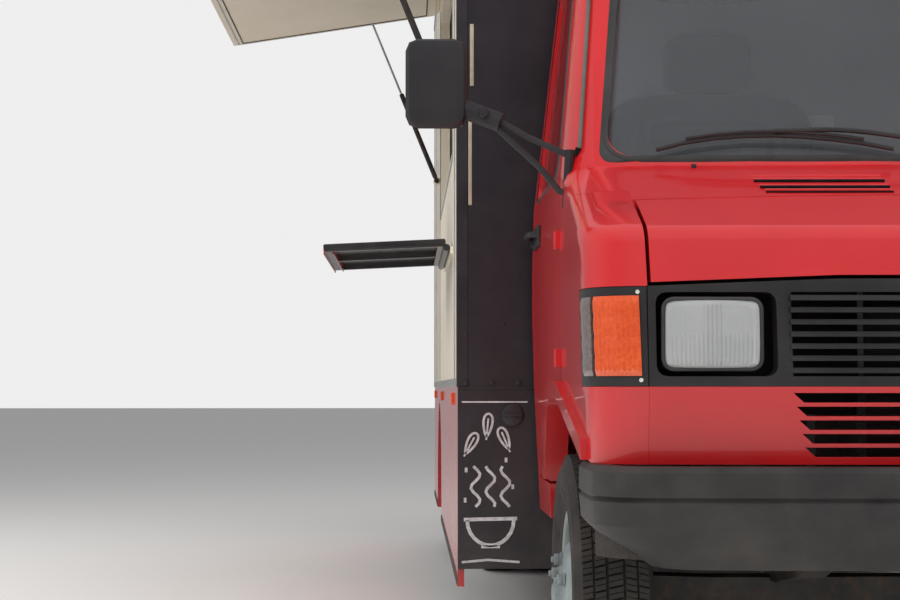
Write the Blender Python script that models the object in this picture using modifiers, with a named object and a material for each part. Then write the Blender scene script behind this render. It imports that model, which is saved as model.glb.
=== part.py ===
"""Food truck: a light-truck cab with a short sloping bonnet and a box body with a serving hatch.

The truck stands on its tyres and faces -Y. Its right side, with the serving hatch, is at -X.
Sizes are in metres. X is measured from the centre plane, Y from the bumper's front face and
Z from the ground, and one empty then moves the whole truck so that the middle of its
footprint lies at the origin.
"""

import math

import bmesh
import bpy
from mathutils import Matrix, Vector

# Gaps
SEAT = 0.0003
SHUT = 0.008

# Wheels and axles
WHEELBASE = 3.70
FRONT_AXLE_Y = 0.87
REAR_AXLE_Y = FRONT_AXLE_Y + WHEELBASE
TYRE_RADIUS = 0.35
TYRE_WIDTH = 0.186
BEAD_RADIUS = 0.203
BEAD_WIDTH = 0.14
WHEEL_STEPS = 24
AXLE_Z = TYRE_RADIUS * math.cos(math.pi / WHEEL_STEPS)
FRONT_WHEEL_X = 0.865
KINGPIN_X = 0.78
KINGPIN_RADIUS = 0.04
REAR_WHEEL_X = 0.80
TWIN_OFFSET = 0.1125
HUB_RADIUS = 0.05
DRUM_RADIUS = 0.15

# Chassis
RAIL_X = 0.41
RAIL_WIDTH = 0.06
RAIL_LOW = 0.50
RAIL_HIGH = 0.66
RAIL_START_Y = 0.16

# Cab
CAB_HALF = 0.970
CAB_BACK_Y = 1.66
WALL = 0.045
PANEL_HALF = CAB_HALF - 0.124
SILL_Z = 0.50
VALANCE_LOW = 0.70
VALANCE_HIGH = 0.86
PANEL_HIGH = 1.068
SHOULDER_Z = 1.30
BONNET_REAR_Y = 0.365
PANEL_RISE = 0.015
PANEL_LEVEL_HALF = 0.45
DOOR_FRONT_Y = 0.80
DOOR_REAR_Y = 1.60
DOOR_LOW = 0.60
DOOR_HIGH = 2.06
FLOOR_LOW = 0.80
FLOOR_THICK = 0.03
FLOOR_HALF = CAB_HALF - 0.085
ROOF_START = 1.50
ROOF_TOP = 2.255
ARCH_FRONT = (-0.10, 0.618)
ARCH_CREST = ((0.78, 0.83), (1.02, 0.83))
ARCH_REAR_Y = 1.29
ARCH_REAR_Z = 0.56
ARCH_ROUND = 0.10
ARCH_LIP = 0.045
ARCH_PROUD = 0.016
LIP_FRONT_Y = 0.26

# Bumper
BUMPER_HALF = CAB_HALF - 0.002
BUMPER_TOP = VALANCE_LOW - SEAT
BUMPER_WALL = 0.05
BUMPER_REAR_Y = 0.35

# Box body
BOX_FRONT_Y = 1.72
BOX_REAR_Y = 5.92
RAIL_END_Y = BOX_REAR_Y - 0.12
BOX_HALF = 1.19
BOX_LOW = 0.86
BOX_HIGH = 2.90
BOX_WALL = 0.04
DECK_LOW = 0.84
DECK_HIGH = 0.90
SKIRT_LOW = 0.26
SKIRT_THICK = 0.02

# Serving hatch
HATCH_START_Y = 2.30
HATCH_END_Y = 4.20
HATCH_LOW = 1.66
HATCH_HIGH = BOX_HIGH - 0.38
LAP = 0.02
FLAP_THICK = 0.03
FLAP_HINGE_Z = HATCH_HIGH + 0.055
FLAP_HINGE_X = BOX_HALF + 0.02
FLAP_LENGTH = FLAP_HINGE_Z - HATCH_LOW + 0.015
FLAP_TILT = math.radians(81)
HINGE_RADIUS = 0.012
STRUT_Y_GAP = 0.018
STRUT_RADIUS = 0.011
STRUT_ROD_RADIUS = 0.005
STRUT_DROP = 0.775
STRUT_ARM = 0.30
STRUT_BARREL = 0.43
STRUT_INSIDE = 0.05
SHELF_START_Y = 2.30
SHELF_END_Y = 3.20
SHELF_Z = 1.36
SHELF_DEPTH = 0.416
SHELF_THICK = 0.030
SHELF_DROOP = math.radians(2.75)

# Rear door of the box
REAR_DOOR_HALF = 0.42
REAR_DOOR_LOW = 0.93
REAR_DOOR_HIGH = BOX_HIGH - 0.18

# Plan sections of the cab from the sills to the roof
# Columns: height, front Y on the centre plane, half width, corner radius, bulge of the front
CAB_SECTIONS = (
    (SILL_Z, 0.17, CAB_HALF - 0.022, 0.13, 0.025),
    (VALANCE_LOW, 0.12, CAB_HALF - 0.012, 0.12, 0.025),
    (VALANCE_HIGH, 0.10, CAB_HALF - 0.005, 0.12, 0.025),
    (PANEL_HIGH, 0.12, CAB_HALF, 0.12, 0.025),
    (1.19, 0.16, CAB_HALF, 0.13, 0.025),
    (1.38, 0.57, CAB_HALF - 0.005, 0.16, 0.035),
    (2.02, 0.87, CAB_HALF - 0.080, 0.14, 0.040),
    (2.14, 0.93, CAB_HALF - 0.098, 0.15, 0.040),
    (2.20, 1.00, CAB_HALF - 0.125, 0.17, 0.040),
    (2.24, 1.10, CAB_HALF - 0.170, 0.18, 0.030),
    (ROOF_TOP, 1.25, CAB_HALF - 0.250, 0.18, 0.020),
)

for leftover in list(bpy.data.objects):
    bpy.data.objects.remove(leftover, do_unlink=True)

truck = bpy.data.collections.new("food_truck")
tools = bpy.data.collections.new("cutters")
for group in (truck, tools):
    bpy.context.scene.collection.children.link(group)


def paint(name, colour, roughness, metallic=0.0):
    """One Principled material."""
    material = bpy.data.materials.new(name)
    material.use_nodes = True
    shader = material.node_tree.nodes["Principled BSDF"]
    shader.inputs["Base Color"].default_value = (*colour, 1.0)
    shader.inputs["Roughness"].default_value = roughness
    shader.inputs["Metallic"].default_value = metallic
    return material


def solid(name, bm):
    """Turns a bmesh into an object in the tools collection, with its faces pointing out."""
    bmesh.ops.remove_doubles(bm, verts=bm.verts[:], dist=0.00001)
    bmesh.ops.recalc_face_normals(bm, faces=bm.faces[:])
    mesh = bpy.data.meshes.new(name)
    bm.to_mesh(mesh)
    bm.free()
    thing = bpy.data.objects.new(name, mesh)
    thing.hide_render = True
    thing.display_type = "WIRE"
    tools.objects.link(thing)
    return thing


def settle(thing):
    """Replaces an object by its evaluated mesh in world space, with loose seams welded."""
    bpy.context.view_layer.update()
    graph = bpy.context.evaluated_depsgraph_get()
    mesh = bpy.data.meshes.new_from_object(thing.evaluated_get(graph))
    mesh.transform(thing.matrix_world)
    bm = bmesh.new()
    bm.from_mesh(mesh)
    bpy.data.meshes.remove(mesh)
    name = thing.name
    bpy.data.objects.remove(thing, do_unlink=True)
    return solid(name, bm)


def box(name, low, high, bevel=0.0, segments=2):
    """Block between two corners, with its edges rounded if bevel is given."""
    low = Vector(low)
    high = Vector(high)
    bm = bmesh.new()
    size = Matrix.Diagonal((*(high - low), 1.0))
    bmesh.ops.create_cube(bm, size=1.0, matrix=Matrix.Translation((low + high) / 2) @ size)
    if bevel:
        bmesh.ops.bevel(bm, geom=bm.edges[:], offset=bevel, segments=segments,
                        profile=0.5, affect="EDGES")
    return solid(name, bm)


# Where a flat outline's own two directions and its thickness point, for each axis
FLAT_FRAMES = {
    "X": Matrix(((0, 0, 1, 0), (1, 0, 0, 0), (0, 1, 0, 0), (0, 0, 0, 1))),
    "Y": Matrix(((1, 0, 0, 0), (0, 0, -1, 0), (0, 1, 0, 0), (0, 0, 0, 1))),
    "Z": Matrix.Identity(4),
}


def prism(name, outline, axis, low, high):
    """Flat outline, in YZ, XZ or XY, drawn as a filled curve and drawn out along an axis."""
    curve = bpy.data.curves.new(name, "CURVE")
    curve.dimensions = "2D"
    curve.fill_mode = "BOTH"
    curve.extrude = (high - low) / 2
    spline = curve.splines.new("POLY")
    spline.points.add(len(outline) - 1)
    for point, place in zip(spline.points, outline):
        point.co = (place[0], place[1], 0.0, 1.0)
    spline.use_cyclic_u = True
    thing = bpy.data.objects.new(name, curve)
    tools.objects.link(thing)
    middle = (low + high) / 2
    along = {"X": (middle, 0, 0), "Y": (0, middle, 0), "Z": (0, 0, middle)}[axis]
    thing.matrix_world = Matrix.Translation(along) @ FLAT_FRAMES[axis]
    return settle(thing)


def rounded(corners, radius, steps=4):
    """Outline through the corners, each rounded with an arc of the given radius."""
    outline = []
    count = len(corners)
    for index in range(count):
        corner = Vector(corners[index])
        before = (Vector(corners[index - 1]) - corner).normalized()
        after = (Vector(corners[(index + 1) % count]) - corner).normalized()
        half_angle = before.angle(after) / 2
        reach = radius / math.tan(half_angle)
        centre = corner + (before + after).normalized() * (radius / math.sin(half_angle))
        start = (corner + before * reach - centre).normalized()
        end = (corner + after * reach - centre).normalized()
        for step in range(steps + 1):
            outline.append(centre + start.slerp(end, step / steps) * radius)
    return [tuple(point) for point in outline]


def loft(name, rings):
    """Closed skin through rings with the same number of points, from the lowest to the highest."""
    bm = bmesh.new()
    rows = [[bm.verts.new(point) for point in ring] for ring in rings]
    count = len(rows[0])
    for lower, upper in zip(rows, rows[1:]):
        for index in range(count):
            after = (index + 1) % count
            bm.faces.new((lower[index], lower[after], upper[after], upper[index]))
    bm.faces.new(rows[0])
    bm.faces.new(rows[-1])
    return solid(name, bm)


def turned(name, profile, centre, direction, steps=WHEEL_STEPS, closed=False):
    """Profile of (radius, along) pairs spun by a Screw modifier about an axis through centre."""
    bm = bmesh.new()
    points = [bm.verts.new((radius, 0.0, along)) for radius, along in profile]
    for first, second in zip(points, points[1:]):
        bm.edges.new((first, second))
    if closed:
        bm.edges.new((points[-1], points[0]))
    mesh = bpy.data.meshes.new(name)
    bm.to_mesh(mesh)
    bm.free()
    thing = bpy.data.objects.new(name, mesh)
    tools.objects.link(thing)
    screw = thing.modifiers.new("spin", "SCREW")
    screw.steps = steps
    screw.render_steps = steps
    screw.use_merge_vertices = True
    screw.merge_threshold = 0.00001
    facing = Vector(direction).to_track_quat("Z", "Y").to_matrix().to_4x4()
    half_step = Matrix.Rotation(math.pi / steps, 4, "Z")
    thing.matrix_world = Matrix.Translation(centre) @ facing @ half_step
    return settle(thing)


def rod(name, start, end, radius, steps=12):
    """Straight round bar between two points."""
    start = Vector(start)
    length = (Vector(end) - start).length
    profile = ((0.0, length), (radius, length), (radius, 0.0), (0.0, 0.0))
    return turned(name, profile, start, Vector(end) - start, steps)


def tube(name, points, radius):
    """Bent round bar along a run of points, made as a curve with filled caps."""
    curve = bpy.data.curves.new(name, "CURVE")
    curve.dimensions = "3D"
    curve.bevel_depth = radius
    curve.bevel_resolution = 2
    curve.use_fill_caps = True
    spline = curve.splines.new("POLY")
    spline.points.add(len(points) - 1)
    for point, place in zip(spline.points, points):
        point.co = (*place, 1.0)
    thing = bpy.data.objects.new(name, curve)
    tools.objects.link(thing)
    return settle(thing)


def combine(piece, tool, operation):
    """Runs one exact Boolean on the piece and keeps its result."""
    modifier = piece.modifiers.new("shape", "BOOLEAN")
    modifier.operation = operation
    modifier.object = tool
    modifier.solver = "EXACT"
    return settle(piece)


def cut(piece, *cutters):
    for cutter in cutters:
        piece = combine(piece, cutter, "DIFFERENCE")
    return piece


def join(piece, *others):
    for other in others:
        piece = combine(piece, other, "UNION")
    return piece


def keep(piece, region):
    return combine(piece, region, "INTERSECT")


def copy_of(thing, name):
    twin = thing.copy()
    twin.data = thing.data.copy()
    twin.name = name
    tools.objects.link(twin)
    return twin


def mirrored(thing, name):
    """Copy of a piece on the other side of the centre plane."""
    bm = bmesh.new()
    bm.from_mesh(thing.data)
    bmesh.ops.scale(bm, vec=(-1, 1, 1), verts=bm.verts[:])
    return solid(name, bm)


# Faces that meet at less than this angle are made one
FLAT_ANGLE = math.radians(0.05)

# Empties that carry the bodies; each stands on its body's joint axis
carriers = {}


def carrier(name, place=(0, 0, 0), held_by=None):
    empty = bpy.data.objects.new(f"{name}_carrier", None)
    empty.empty_display_size = 0.15
    truck.objects.link(empty)
    place = Vector(place)
    if held_by:
        empty.parent = carriers[held_by][0]
        empty.location = place - carriers[held_by][1]
    else:
        empty.location = place
    carriers[name] = (empty, place)


def fit(piece, name, material, body, smooth=0.0):
    """Makes a finished solid a part of the truck, on the empty of its body."""
    empty, place = carriers[body]
    tools.objects.unlink(piece)
    truck.objects.link(piece)
    piece.name = name
    piece.data.name = name
    piece.hide_render = False
    piece.display_type = "TEXTURED"
    bm = bmesh.new()
    bm.from_mesh(piece.data)
    bmesh.ops.dissolve_limit(bm, angle_limit=FLAT_ANGLE, verts=bm.verts[:], edges=bm.edges[:])
    bm.to_mesh(piece.data)
    bm.free()
    piece.data.transform(Matrix.Translation(-place))
    piece.parent = empty
    piece.data.materials.clear()
    piece.data.materials.append(material)
    if smooth:
        piece.data.shade_smooth()
        piece.data.set_sharp_from_angle(angle=math.radians(smooth))
    return piece


RED = paint("red_paint", (0.60, 0.018, 0.024), 0.25)
PANEL_BLACK = paint("black_plastic", (0.045, 0.04, 0.045), 0.55)
BOX_BLACK = paint("black_panel", (0.022, 0.018, 0.022), 0.35)
CREAM = paint("cream_panel", (0.80, 0.70, 0.55), 0.45)
STEEL = paint("chassis_steel", (0.03, 0.03, 0.032), 0.7, 0.3)
WHEEL_STEEL = paint("wheel_steel", (0.36, 0.38, 0.38), 0.35, 0.8)
TYRE = paint("tyre_rubber", (0.02, 0.02, 0.02), 0.85)
GLASS = paint("glass", (0.5, 0.55, 0.55), 0.05)
AMBER = paint("amber_lens", (0.85, 0.12, 0.02), 0.2)
LAMP = paint("lamp_glass", (0.8, 0.8, 0.78), 0.1)
SEAT_CLOTH = paint("seat_cloth", (0.06, 0.06, 0.07), 0.9)
DASH = paint("dash_plastic", (0.04, 0.04, 0.045), 0.7)
ZINC = paint("zinc_steel", (0.55, 0.56, 0.57), 0.35, 0.9)

SIDES = (("right", -1), ("left", 1))

RIM_OUTER = BEAD_RADIUS - SEAT
RIM_INNER = 0.190
FLANGE_RADIUS = 0.213
FLANGE_NEAR = BEAD_WIDTH / 2 + SEAT
FLANGE_FAR = FLANGE_NEAR + 0.007
DISC_INNER = 0.058

DOOR_HINGE_X = CAB_HALF + 0.004
DOOR_HINGE_HALF = 0.022
DOOR_HINGE_ROWS = (0.93, 1.22)
DOOR_KNUCKLE = SHUT - 2 * SEAT
BONNET_HINGE = (0.0, 0.368, 1.2815)
BONNET_KNUCKLE = BONNET_REAR_Y + SHUT - SEAT - BONNET_HINGE[1]
STRUT_LOW_Y = HATCH_START_Y - LAP - STRUT_Y_GAP
STRUT_HIGH_Y = HATCH_END_Y + LAP + STRUT_Y_GAP
FLAP_HINGE = (-FLAP_HINGE_X, (HATCH_START_Y + HATCH_END_Y) / 2, FLAP_HINGE_Z)
STRUT_BASE_Z = FLAP_HINGE_Z - STRUT_DROP
STRUT_BASE = (-FLAP_HINGE_X, FLAP_HINGE[1], STRUT_BASE_Z)
SHELF_HINGE = (-FLAP_HINGE_X, (SHELF_START_Y + SHELF_END_Y) / 2, SHELF_Z - SHELF_THICK)
REAR_DOOR_HINGE = (REAR_DOOR_HALF, BOX_REAR_Y + HINGE_RADIUS, (REAR_DOOR_LOW + REAR_DOOR_HIGH) / 2)

carrier("truck_frame")
for side, sign in SIDES:
    carrier(f"knuckle_{side}", (sign * KINGPIN_X, FRONT_AXLE_Y, AXLE_Z), "truck_frame")
    carrier(f"front_wheel_{side}", (sign * FRONT_WHEEL_X, FRONT_AXLE_Y, AXLE_Z), f"knuckle_{side}")
    carrier(f"rear_wheel_{side}", (sign * REAR_WHEEL_X, REAR_AXLE_Y, AXLE_Z), "truck_frame")
    carrier(f"door_{side}", (sign * DOOR_HINGE_X, DOOR_FRONT_Y + SHUT / 2, 1.2), "truck_frame")
carrier("bonnet", BONNET_HINGE, "truck_frame")
carrier("hatch_flap", FLAP_HINGE, "truck_frame")
carrier("strut_barrels", STRUT_BASE, "truck_frame")
carrier("strut_rods", STRUT_BASE, "strut_barrels")
carrier("counter_shelf", SHELF_HINGE, "truck_frame")
carrier("rear_door", REAR_DOOR_HINGE, "truck_frame")


# Wheels: tyres on steel rims, singles in front and twins behind

def tyre(name, centre_x, sign):
    """Tyre with rounded shoulders, as a ring spun round the axle."""
    half = TYRE_WIDTH / 2
    bead = BEAD_WIDTH / 2
    wall_x = half * 0.92
    sidewall = (TYRE_RADIUS + BEAD_RADIUS) / 2
    shoulder = TYRE_RADIUS - 0.014
    tread = half - 0.018
    outer_half = ((BEAD_RADIUS, bead), (FLANGE_RADIUS + 0.002, bead), (sidewall - 0.02, half),
                  (sidewall + 0.03, half),
                  (shoulder - 0.012, wall_x), (shoulder, wall_x - 0.006), (TYRE_RADIUS, tread))
    profile = [(radius, -along) for radius, along in outer_half]
    profile += [(radius, along) for radius, along in reversed(outer_half)]
    return turned(name, profile, (centre_x * sign, 0, 0), (sign, 0, 0), closed=True)


def at_axle(piece, axle_y):
    piece.data.transform(Matrix.Translation((0, axle_y, AXLE_Z)))
    return piece


for side, sign in SIDES:
    front_rim = turned("front_rim", (
        (0.0, 0.112), (0.034, 0.112), (0.040, 0.098), (0.078, 0.094), (0.098, 0.078), (0.150, 0.052),
        (0.172, 0.030), (RIM_INNER, 0.026), (RIM_INNER, FLANGE_FAR), (FLANGE_RADIUS, FLANGE_FAR),
        (FLANGE_RADIUS, FLANGE_NEAR), (RIM_OUTER, FLANGE_NEAR), (RIM_OUTER, -FLANGE_NEAR),
        (FLANGE_RADIUS, -FLANGE_NEAR), (FLANGE_RADIUS, -FLANGE_FAR), (RIM_INNER, -FLANGE_FAR),
        (RIM_INNER, 0.012), (0.160, 0.014), (0.140, 0.036), (0.090, DISC_INNER), (0.0, DISC_INNER)),
        (FRONT_WHEEL_X * sign, 0, 0), (sign, 0, 0))
    body = f"front_wheel_{side}"
    fit(at_axle(front_rim, FRONT_AXLE_Y), f"front_rim_{side}", WHEEL_STEEL, body, 40)
    ring = tyre("tyre", FRONT_WHEEL_X, sign)
    fit(at_axle(ring, FRONT_AXLE_Y), f"front_tyre_{side}", TYRE, body, 40)

    near = TWIN_OFFSET
    twin_rim = turned("twin_rim", (
        (0.0, 0.040), (0.052, 0.040), (0.058, 0.012), (0.130, 0.012), (0.172, 0.040),
        (RIM_INNER, 0.055), (RIM_INNER, near + FLANGE_FAR), (FLANGE_RADIUS, near + FLANGE_FAR),
        (FLANGE_RADIUS, near + FLANGE_NEAR), (RIM_OUTER, near + FLANGE_NEAR),
        (RIM_OUTER, -near - FLANGE_NEAR), (FLANGE_RADIUS, -near - FLANGE_NEAR),
        (FLANGE_RADIUS, -near - FLANGE_FAR), (RIM_INNER, -near - FLANGE_FAR),
        (RIM_INNER, 0.022), (0.130, -0.012), (0.0, -0.012)),
        (REAR_WHEEL_X * sign, 0, 0), (sign, 0, 0))
    body = f"rear_wheel_{side}"
    fit(at_axle(twin_rim, REAR_AXLE_Y), f"rear_rims_{side}", WHEEL_STEEL, body, 40)
    for place, offset in (("outer", TWIN_OFFSET), ("inner", -TWIN_OFFSET)):
        ring = tyre("tyre", REAR_WHEEL_X + offset, sign)
        fit(at_axle(ring, REAR_AXLE_Y), f"rear_tyre_{place}_{side}", TYRE, body, 40)


# Axles: a front beam with its knuckles, and a driven rear axle, both on leaf springs

BEAM_END = KINGPIN_X - KINGPIN_RADIUS - SEAT
SPRING_LOW = AXLE_Z + 0.045
LEAF = 0.035
SPRING_HALF = 0.56


def leaf_spring(sign, axle_y):
    """Arched pack of leaves that touches the chassis rail above at both ends."""
    top = RAIL_LOW - SEAT
    outline = ((-SPRING_HALF, top), (-SPRING_HALF + 0.07, top), (-0.28, SPRING_LOW + 0.075),
               (-0.08, SPRING_LOW + LEAF + 0.03), (0.08, SPRING_LOW + LEAF + 0.03),
               (0.28, SPRING_LOW + 0.075), (SPRING_HALF - 0.07, top), (SPRING_HALF, top),
               (0.30, SPRING_LOW + 0.028), (0.08, SPRING_LOW - 0.01), (-0.08, SPRING_LOW - 0.01),
               (-0.30, SPRING_LOW + 0.028))
    shifted = [(y + axle_y, z) for y, z in outline]
    middle = sign * RAIL_X
    return prism("spring", shifted, "X", middle - LEAF, middle + LEAF)


front_axle = prism("front_axle", (
    (-BEAM_END, AXLE_Z - 0.05), (-0.62, AXLE_Z - 0.06), (-0.52, AXLE_Z - 0.04), (0.52, AXLE_Z - 0.04),
    (0.62, AXLE_Z - 0.06), (BEAM_END, AXLE_Z - 0.05), (BEAM_END, AXLE_Z + 0.05),
    (0.60, AXLE_Z + 0.045), (-0.60, AXLE_Z + 0.045), (-BEAM_END, AXLE_Z + 0.05)),
    "Y", FRONT_AXLE_Y - 0.04, FRONT_AXLE_Y + 0.04)
for side, sign in SIDES:
    front_axle = join(front_axle, leaf_spring(sign, FRONT_AXLE_Y))
fit(front_axle, "front_axle", STEEL, "truck_frame")

for side, sign in SIDES:
    knuckle = rod("kingpin", (sign * KINGPIN_X, FRONT_AXLE_Y, AXLE_Z - 0.085),
                  (sign * KINGPIN_X, FRONT_AXLE_Y, AXLE_Z + 0.085), KINGPIN_RADIUS, 24)
    hub_face = FRONT_WHEEL_X + DISC_INNER - SEAT
    drum = turned("drum", ((0.0, hub_face - KINGPIN_X), (HUB_RADIUS, hub_face - KINGPIN_X),
                           (HUB_RADIUS, 0.085), (DRUM_RADIUS - 0.01, 0.085), (DRUM_RADIUS, 0.078),
                           (DRUM_RADIUS, 0.032), (0.06, 0.025), (0.03, 0.0), (0.0, 0.0)),
                  (sign * KINGPIN_X, FRONT_AXLE_Y, AXLE_Z), (sign, 0, 0), 24)
    fit(join(knuckle, drum), f"knuckle_{side}", STEEL, f"knuckle_{side}", 40)

HUB_END = REAR_WHEEL_X - 0.012 - SEAT
rear_axle = turned("rear_axle", (
    (0.0, HUB_END), (0.06, HUB_END), (0.06, HUB_END - 0.02), (DRUM_RADIUS, HUB_END - 0.03),
    (DRUM_RADIUS, 0.63), (0.055, 0.62), (0.055, 0.20), (0.15, 0.09), (0.16, 0.0), (0.15, -0.09),
    (0.055, -0.20), (0.055, -0.62), (DRUM_RADIUS, -0.63), (DRUM_RADIUS, -HUB_END + 0.03),
    (0.06, -HUB_END + 0.02), (0.06, -HUB_END), (0.0, -HUB_END)),
    (0, REAR_AXLE_Y, AXLE_Z), (1, 0, 0), 24)
ENGINE_FRONT_Y = 0.46
ENGINE_REAR_Y = 1.40
ENGINE_LOW = 0.56 + SEAT
ENGINE_HIGH = 1.00
SHAFT_FRONT = (0, ENGINE_REAR_Y + 0.004, 0.60)
rear_axle = join(rear_axle, rod("shaft", SHAFT_FRONT, (0, REAR_AXLE_Y - 0.05, AXLE_Z + 0.02), 0.035))
for side, sign in SIDES:
    rear_axle = join(rear_axle, leaf_spring(sign, REAR_AXLE_Y))
fit(rear_axle, "rear_axle", STEEL, "truck_frame", 40)


# Chassis: two rails, cross members and the pads that the cab stands on

chassis = None
RAIL_IN = RAIL_X - RAIL_WIDTH / 2
RAIL_OUT = RAIL_X + RAIL_WIDTH / 2
PAD_TOP = FLOOR_LOW - SEAT
for side, sign in SIDES:
    edges = sorted((sign * RAIL_IN, sign * RAIL_OUT))
    rail = box("rail", (edges[0], RAIL_START_Y, RAIL_LOW), (edges[1], RAIL_END_Y, RAIL_HIGH))
    for pad_y in (0.45, 1.50):
        rail = join(rail, box("pad", (edges[0] + 0.005, pad_y - 0.04, RAIL_HIGH - 0.02),
                              (edges[1] - 0.005, pad_y + 0.04, PAD_TOP)))
    chassis = join(chassis, rail) if chassis else rail
MEMBER_ROWS = ((0.52, RAIL_LOW), (1.32, RAIL_LOW), (2.20, 0.60), (3.30, 0.60), (RAIL_END_Y - 0.20, 0.56))
for member_y, member_low in MEMBER_ROWS:
    chassis = join(chassis, box("member", (-RAIL_IN - 0.01, member_y - 0.04, member_low),
                                (RAIL_IN + 0.01, member_y + 0.04, member_low + 0.06)))
fit(chassis, "chassis_frame", STEEL, "truck_frame")

engine = box("engine", (-0.24, ENGINE_FRONT_Y, ENGINE_LOW), (0.24, ENGINE_REAR_Y, ENGINE_HIGH), 0.03)
fit(engine, "engine_block", STEEL, "truck_frame")

RADIATOR_FRONT_Y = 0.20
radiator = box("radiator", (-RAIL_IN + SEAT, RADIATOR_FRONT_Y, 0.52), (RAIL_IN - SEAT, 0.27, 1.02))
fit(radiator, "radiator", ZINC, "truck_frame")

TANK_FRONT_Y = CAB_BACK_Y + 0.34
tank = box("tank", (-RAIL_OUT - 0.42, TANK_FRONT_Y, 0.40),
           (-RAIL_OUT - SEAT, TANK_FRONT_Y + 0.62, 0.68), 0.03)
fit(tank, "fuel_tank", STEEL, "truck_frame")

MUFFLER_X = RAIL_OUT + 0.10
muffler = rod("muffler", (MUFFLER_X, 2.10, 0.50), (MUFFLER_X, 2.80, 0.50), 0.085, 20)
pipe = tube("pipe", ((MUFFLER_X, 2.75, 0.50), (MUFFLER_X, 3.20, 0.50), (MUFFLER_X + 0.02, 3.26, 0.47),
                     (MUFFLER_X + 0.10, 3.36, 0.42), (0.96, 3.60, 0.40), (1.10, 3.66, 0.38)), 0.028)
hanger = box("hanger", (RAIL_OUT + SEAT, 2.40, 0.52), (MUFFLER_X, 2.44, 0.60))
fit(join(muffler, pipe, hanger), "exhaust", STEEL, "truck_frame", 40)


# Cab: one lofted shell, from which every outer panel is cut

CORNER_STEPS = 5
FRONT_STEPS = 3


def plan_ring(height, front_y, half, radius, bulge, inset=0.0):
    """One horizontal section: straight sides, rounded front corners and a bulged front."""
    half -= inset
    front_y += inset
    radius = max(radius - inset, 0.03)
    flat_half = half - radius
    right = [(-half, CAB_BACK_Y - inset)]
    for step in range(CORNER_STEPS + 1):
        angle = math.pi + step / CORNER_STEPS * math.pi / 2
        right.append((-flat_half + radius * math.cos(angle),
                      front_y + bulge + radius + radius * math.sin(angle)))
    for step in range(1, FRONT_STEPS):
        share = 1 - step / FRONT_STEPS
        right.append((-flat_half * share, front_y + bulge * share * share))
    left = [(-x, y) for x, y in reversed(right)]
    return [(x, y, height) for x, y in right + [(0.0, front_y)] + left]


def cab_volume(name, inset):
    """The cab's outer form, drawn in on every side; the roof comes down by the same amount."""
    rings = []
    for height, front_y, half, radius, bulge in CAB_SECTIONS:
        lowered = inset * max(0.0, (height - ROOF_START) / (ROOF_TOP - ROOF_START))
        if height == SILL_Z:
            lowered = inset
        rings.append(plan_ring(height - lowered, front_y, half, radius, bulge, inset))
    return loft(name, rings)


SHELL = cut(cab_volume("shell", 0.0), cab_volume("shell_inside", WALL))
FAR = BOX_HALF + 0.11


def shell_piece(name, *regions):
    """Piece of the cab's shell that lies inside all the given regions."""
    piece = copy_of(SHELL, name)
    for region in regions:
        piece = keep(piece, region)
    return piece


ARCH_BASE_Z = 0.2


def arch_outline(grow):
    """Wheel arch as seen from the side: a long slope in front, a flat crest and a steep rear."""
    front, rear = ARCH_CREST
    corners = ((ARCH_FRONT[0], ARCH_BASE_Z), (ARCH_FRONT[0], ARCH_FRONT[1] + grow),
               (front[0], front[1] + grow), (rear[0] + grow / 2, rear[1] + grow),
               (ARCH_REAR_Y + grow, ARCH_REAR_Z + grow / 2), (ARCH_REAR_Y + grow, ARCH_BASE_Z))
    return rounded(corners, ARCH_ROUND, 4)


ARCH = prism("arch", arch_outline(0.0), "X", -FAR, FAR)


def door_outline(grow):
    """Door as seen from the side, from its lower front corner round to its slanting pillar."""
    slant_low = (DOOR_FRONT_Y - grow, 1.36)
    slant_high = (DOOR_FRONT_Y + 0.26 - grow, DOOR_HIGH + grow)
    corners = ((DOOR_FRONT_Y - grow, DOOR_LOW - grow), (DOOR_REAR_Y + grow, DOOR_LOW - grow),
               (DOOR_REAR_Y + grow, DOOR_HIGH + grow), slant_high, slant_low)
    return rounded(corners, 0.03, 3)


def side_window_outline(grow):
    corners = ((DOOR_FRONT_Y + 0.075 - grow, 1.40 - grow), (DOOR_REAR_Y - 0.06 + grow, 1.40 - grow),
               (DOOR_REAR_Y - 0.06 + grow, DOOR_HIGH - 0.055 + grow),
               (DOOR_FRONT_Y + 0.075 + 0.225 - grow, DOOR_HIGH - 0.055 + grow))
    return rounded(corners, 0.045, 4)


DOOR_HOLE = prism("door_hole", door_outline(SHUT / 2), "X", -FAR, FAR)
DOOR_SHAPE = prism("door_shape", door_outline(-SHUT / 2), "X", -FAR, FAR)
SIDE_WINDOW = prism("side_window", side_window_outline(0.0), "X", -FAR, FAR)
SIDE_GLASS = prism("side_glass", side_window_outline(-SEAT), "X", -FAR, FAR)


def screen_outline(grow):
    low = CAB_HALF - 0.098 + grow
    high = CAB_HALF - 0.180 + grow
    corners = ((-low, 1.405 - grow), (low, 1.405 - grow), (high, 2.03 + grow), (-high, 2.03 + grow))
    return rounded(corners, 0.055, 5)


SCREEN_HOLE = prism("screen_hole", screen_outline(0.0), "Y", 0.3, 1.3)
SCREEN_SHAPE = prism("screen_shape", screen_outline(-SEAT), "Y", 0.3, 1.3)

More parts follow.
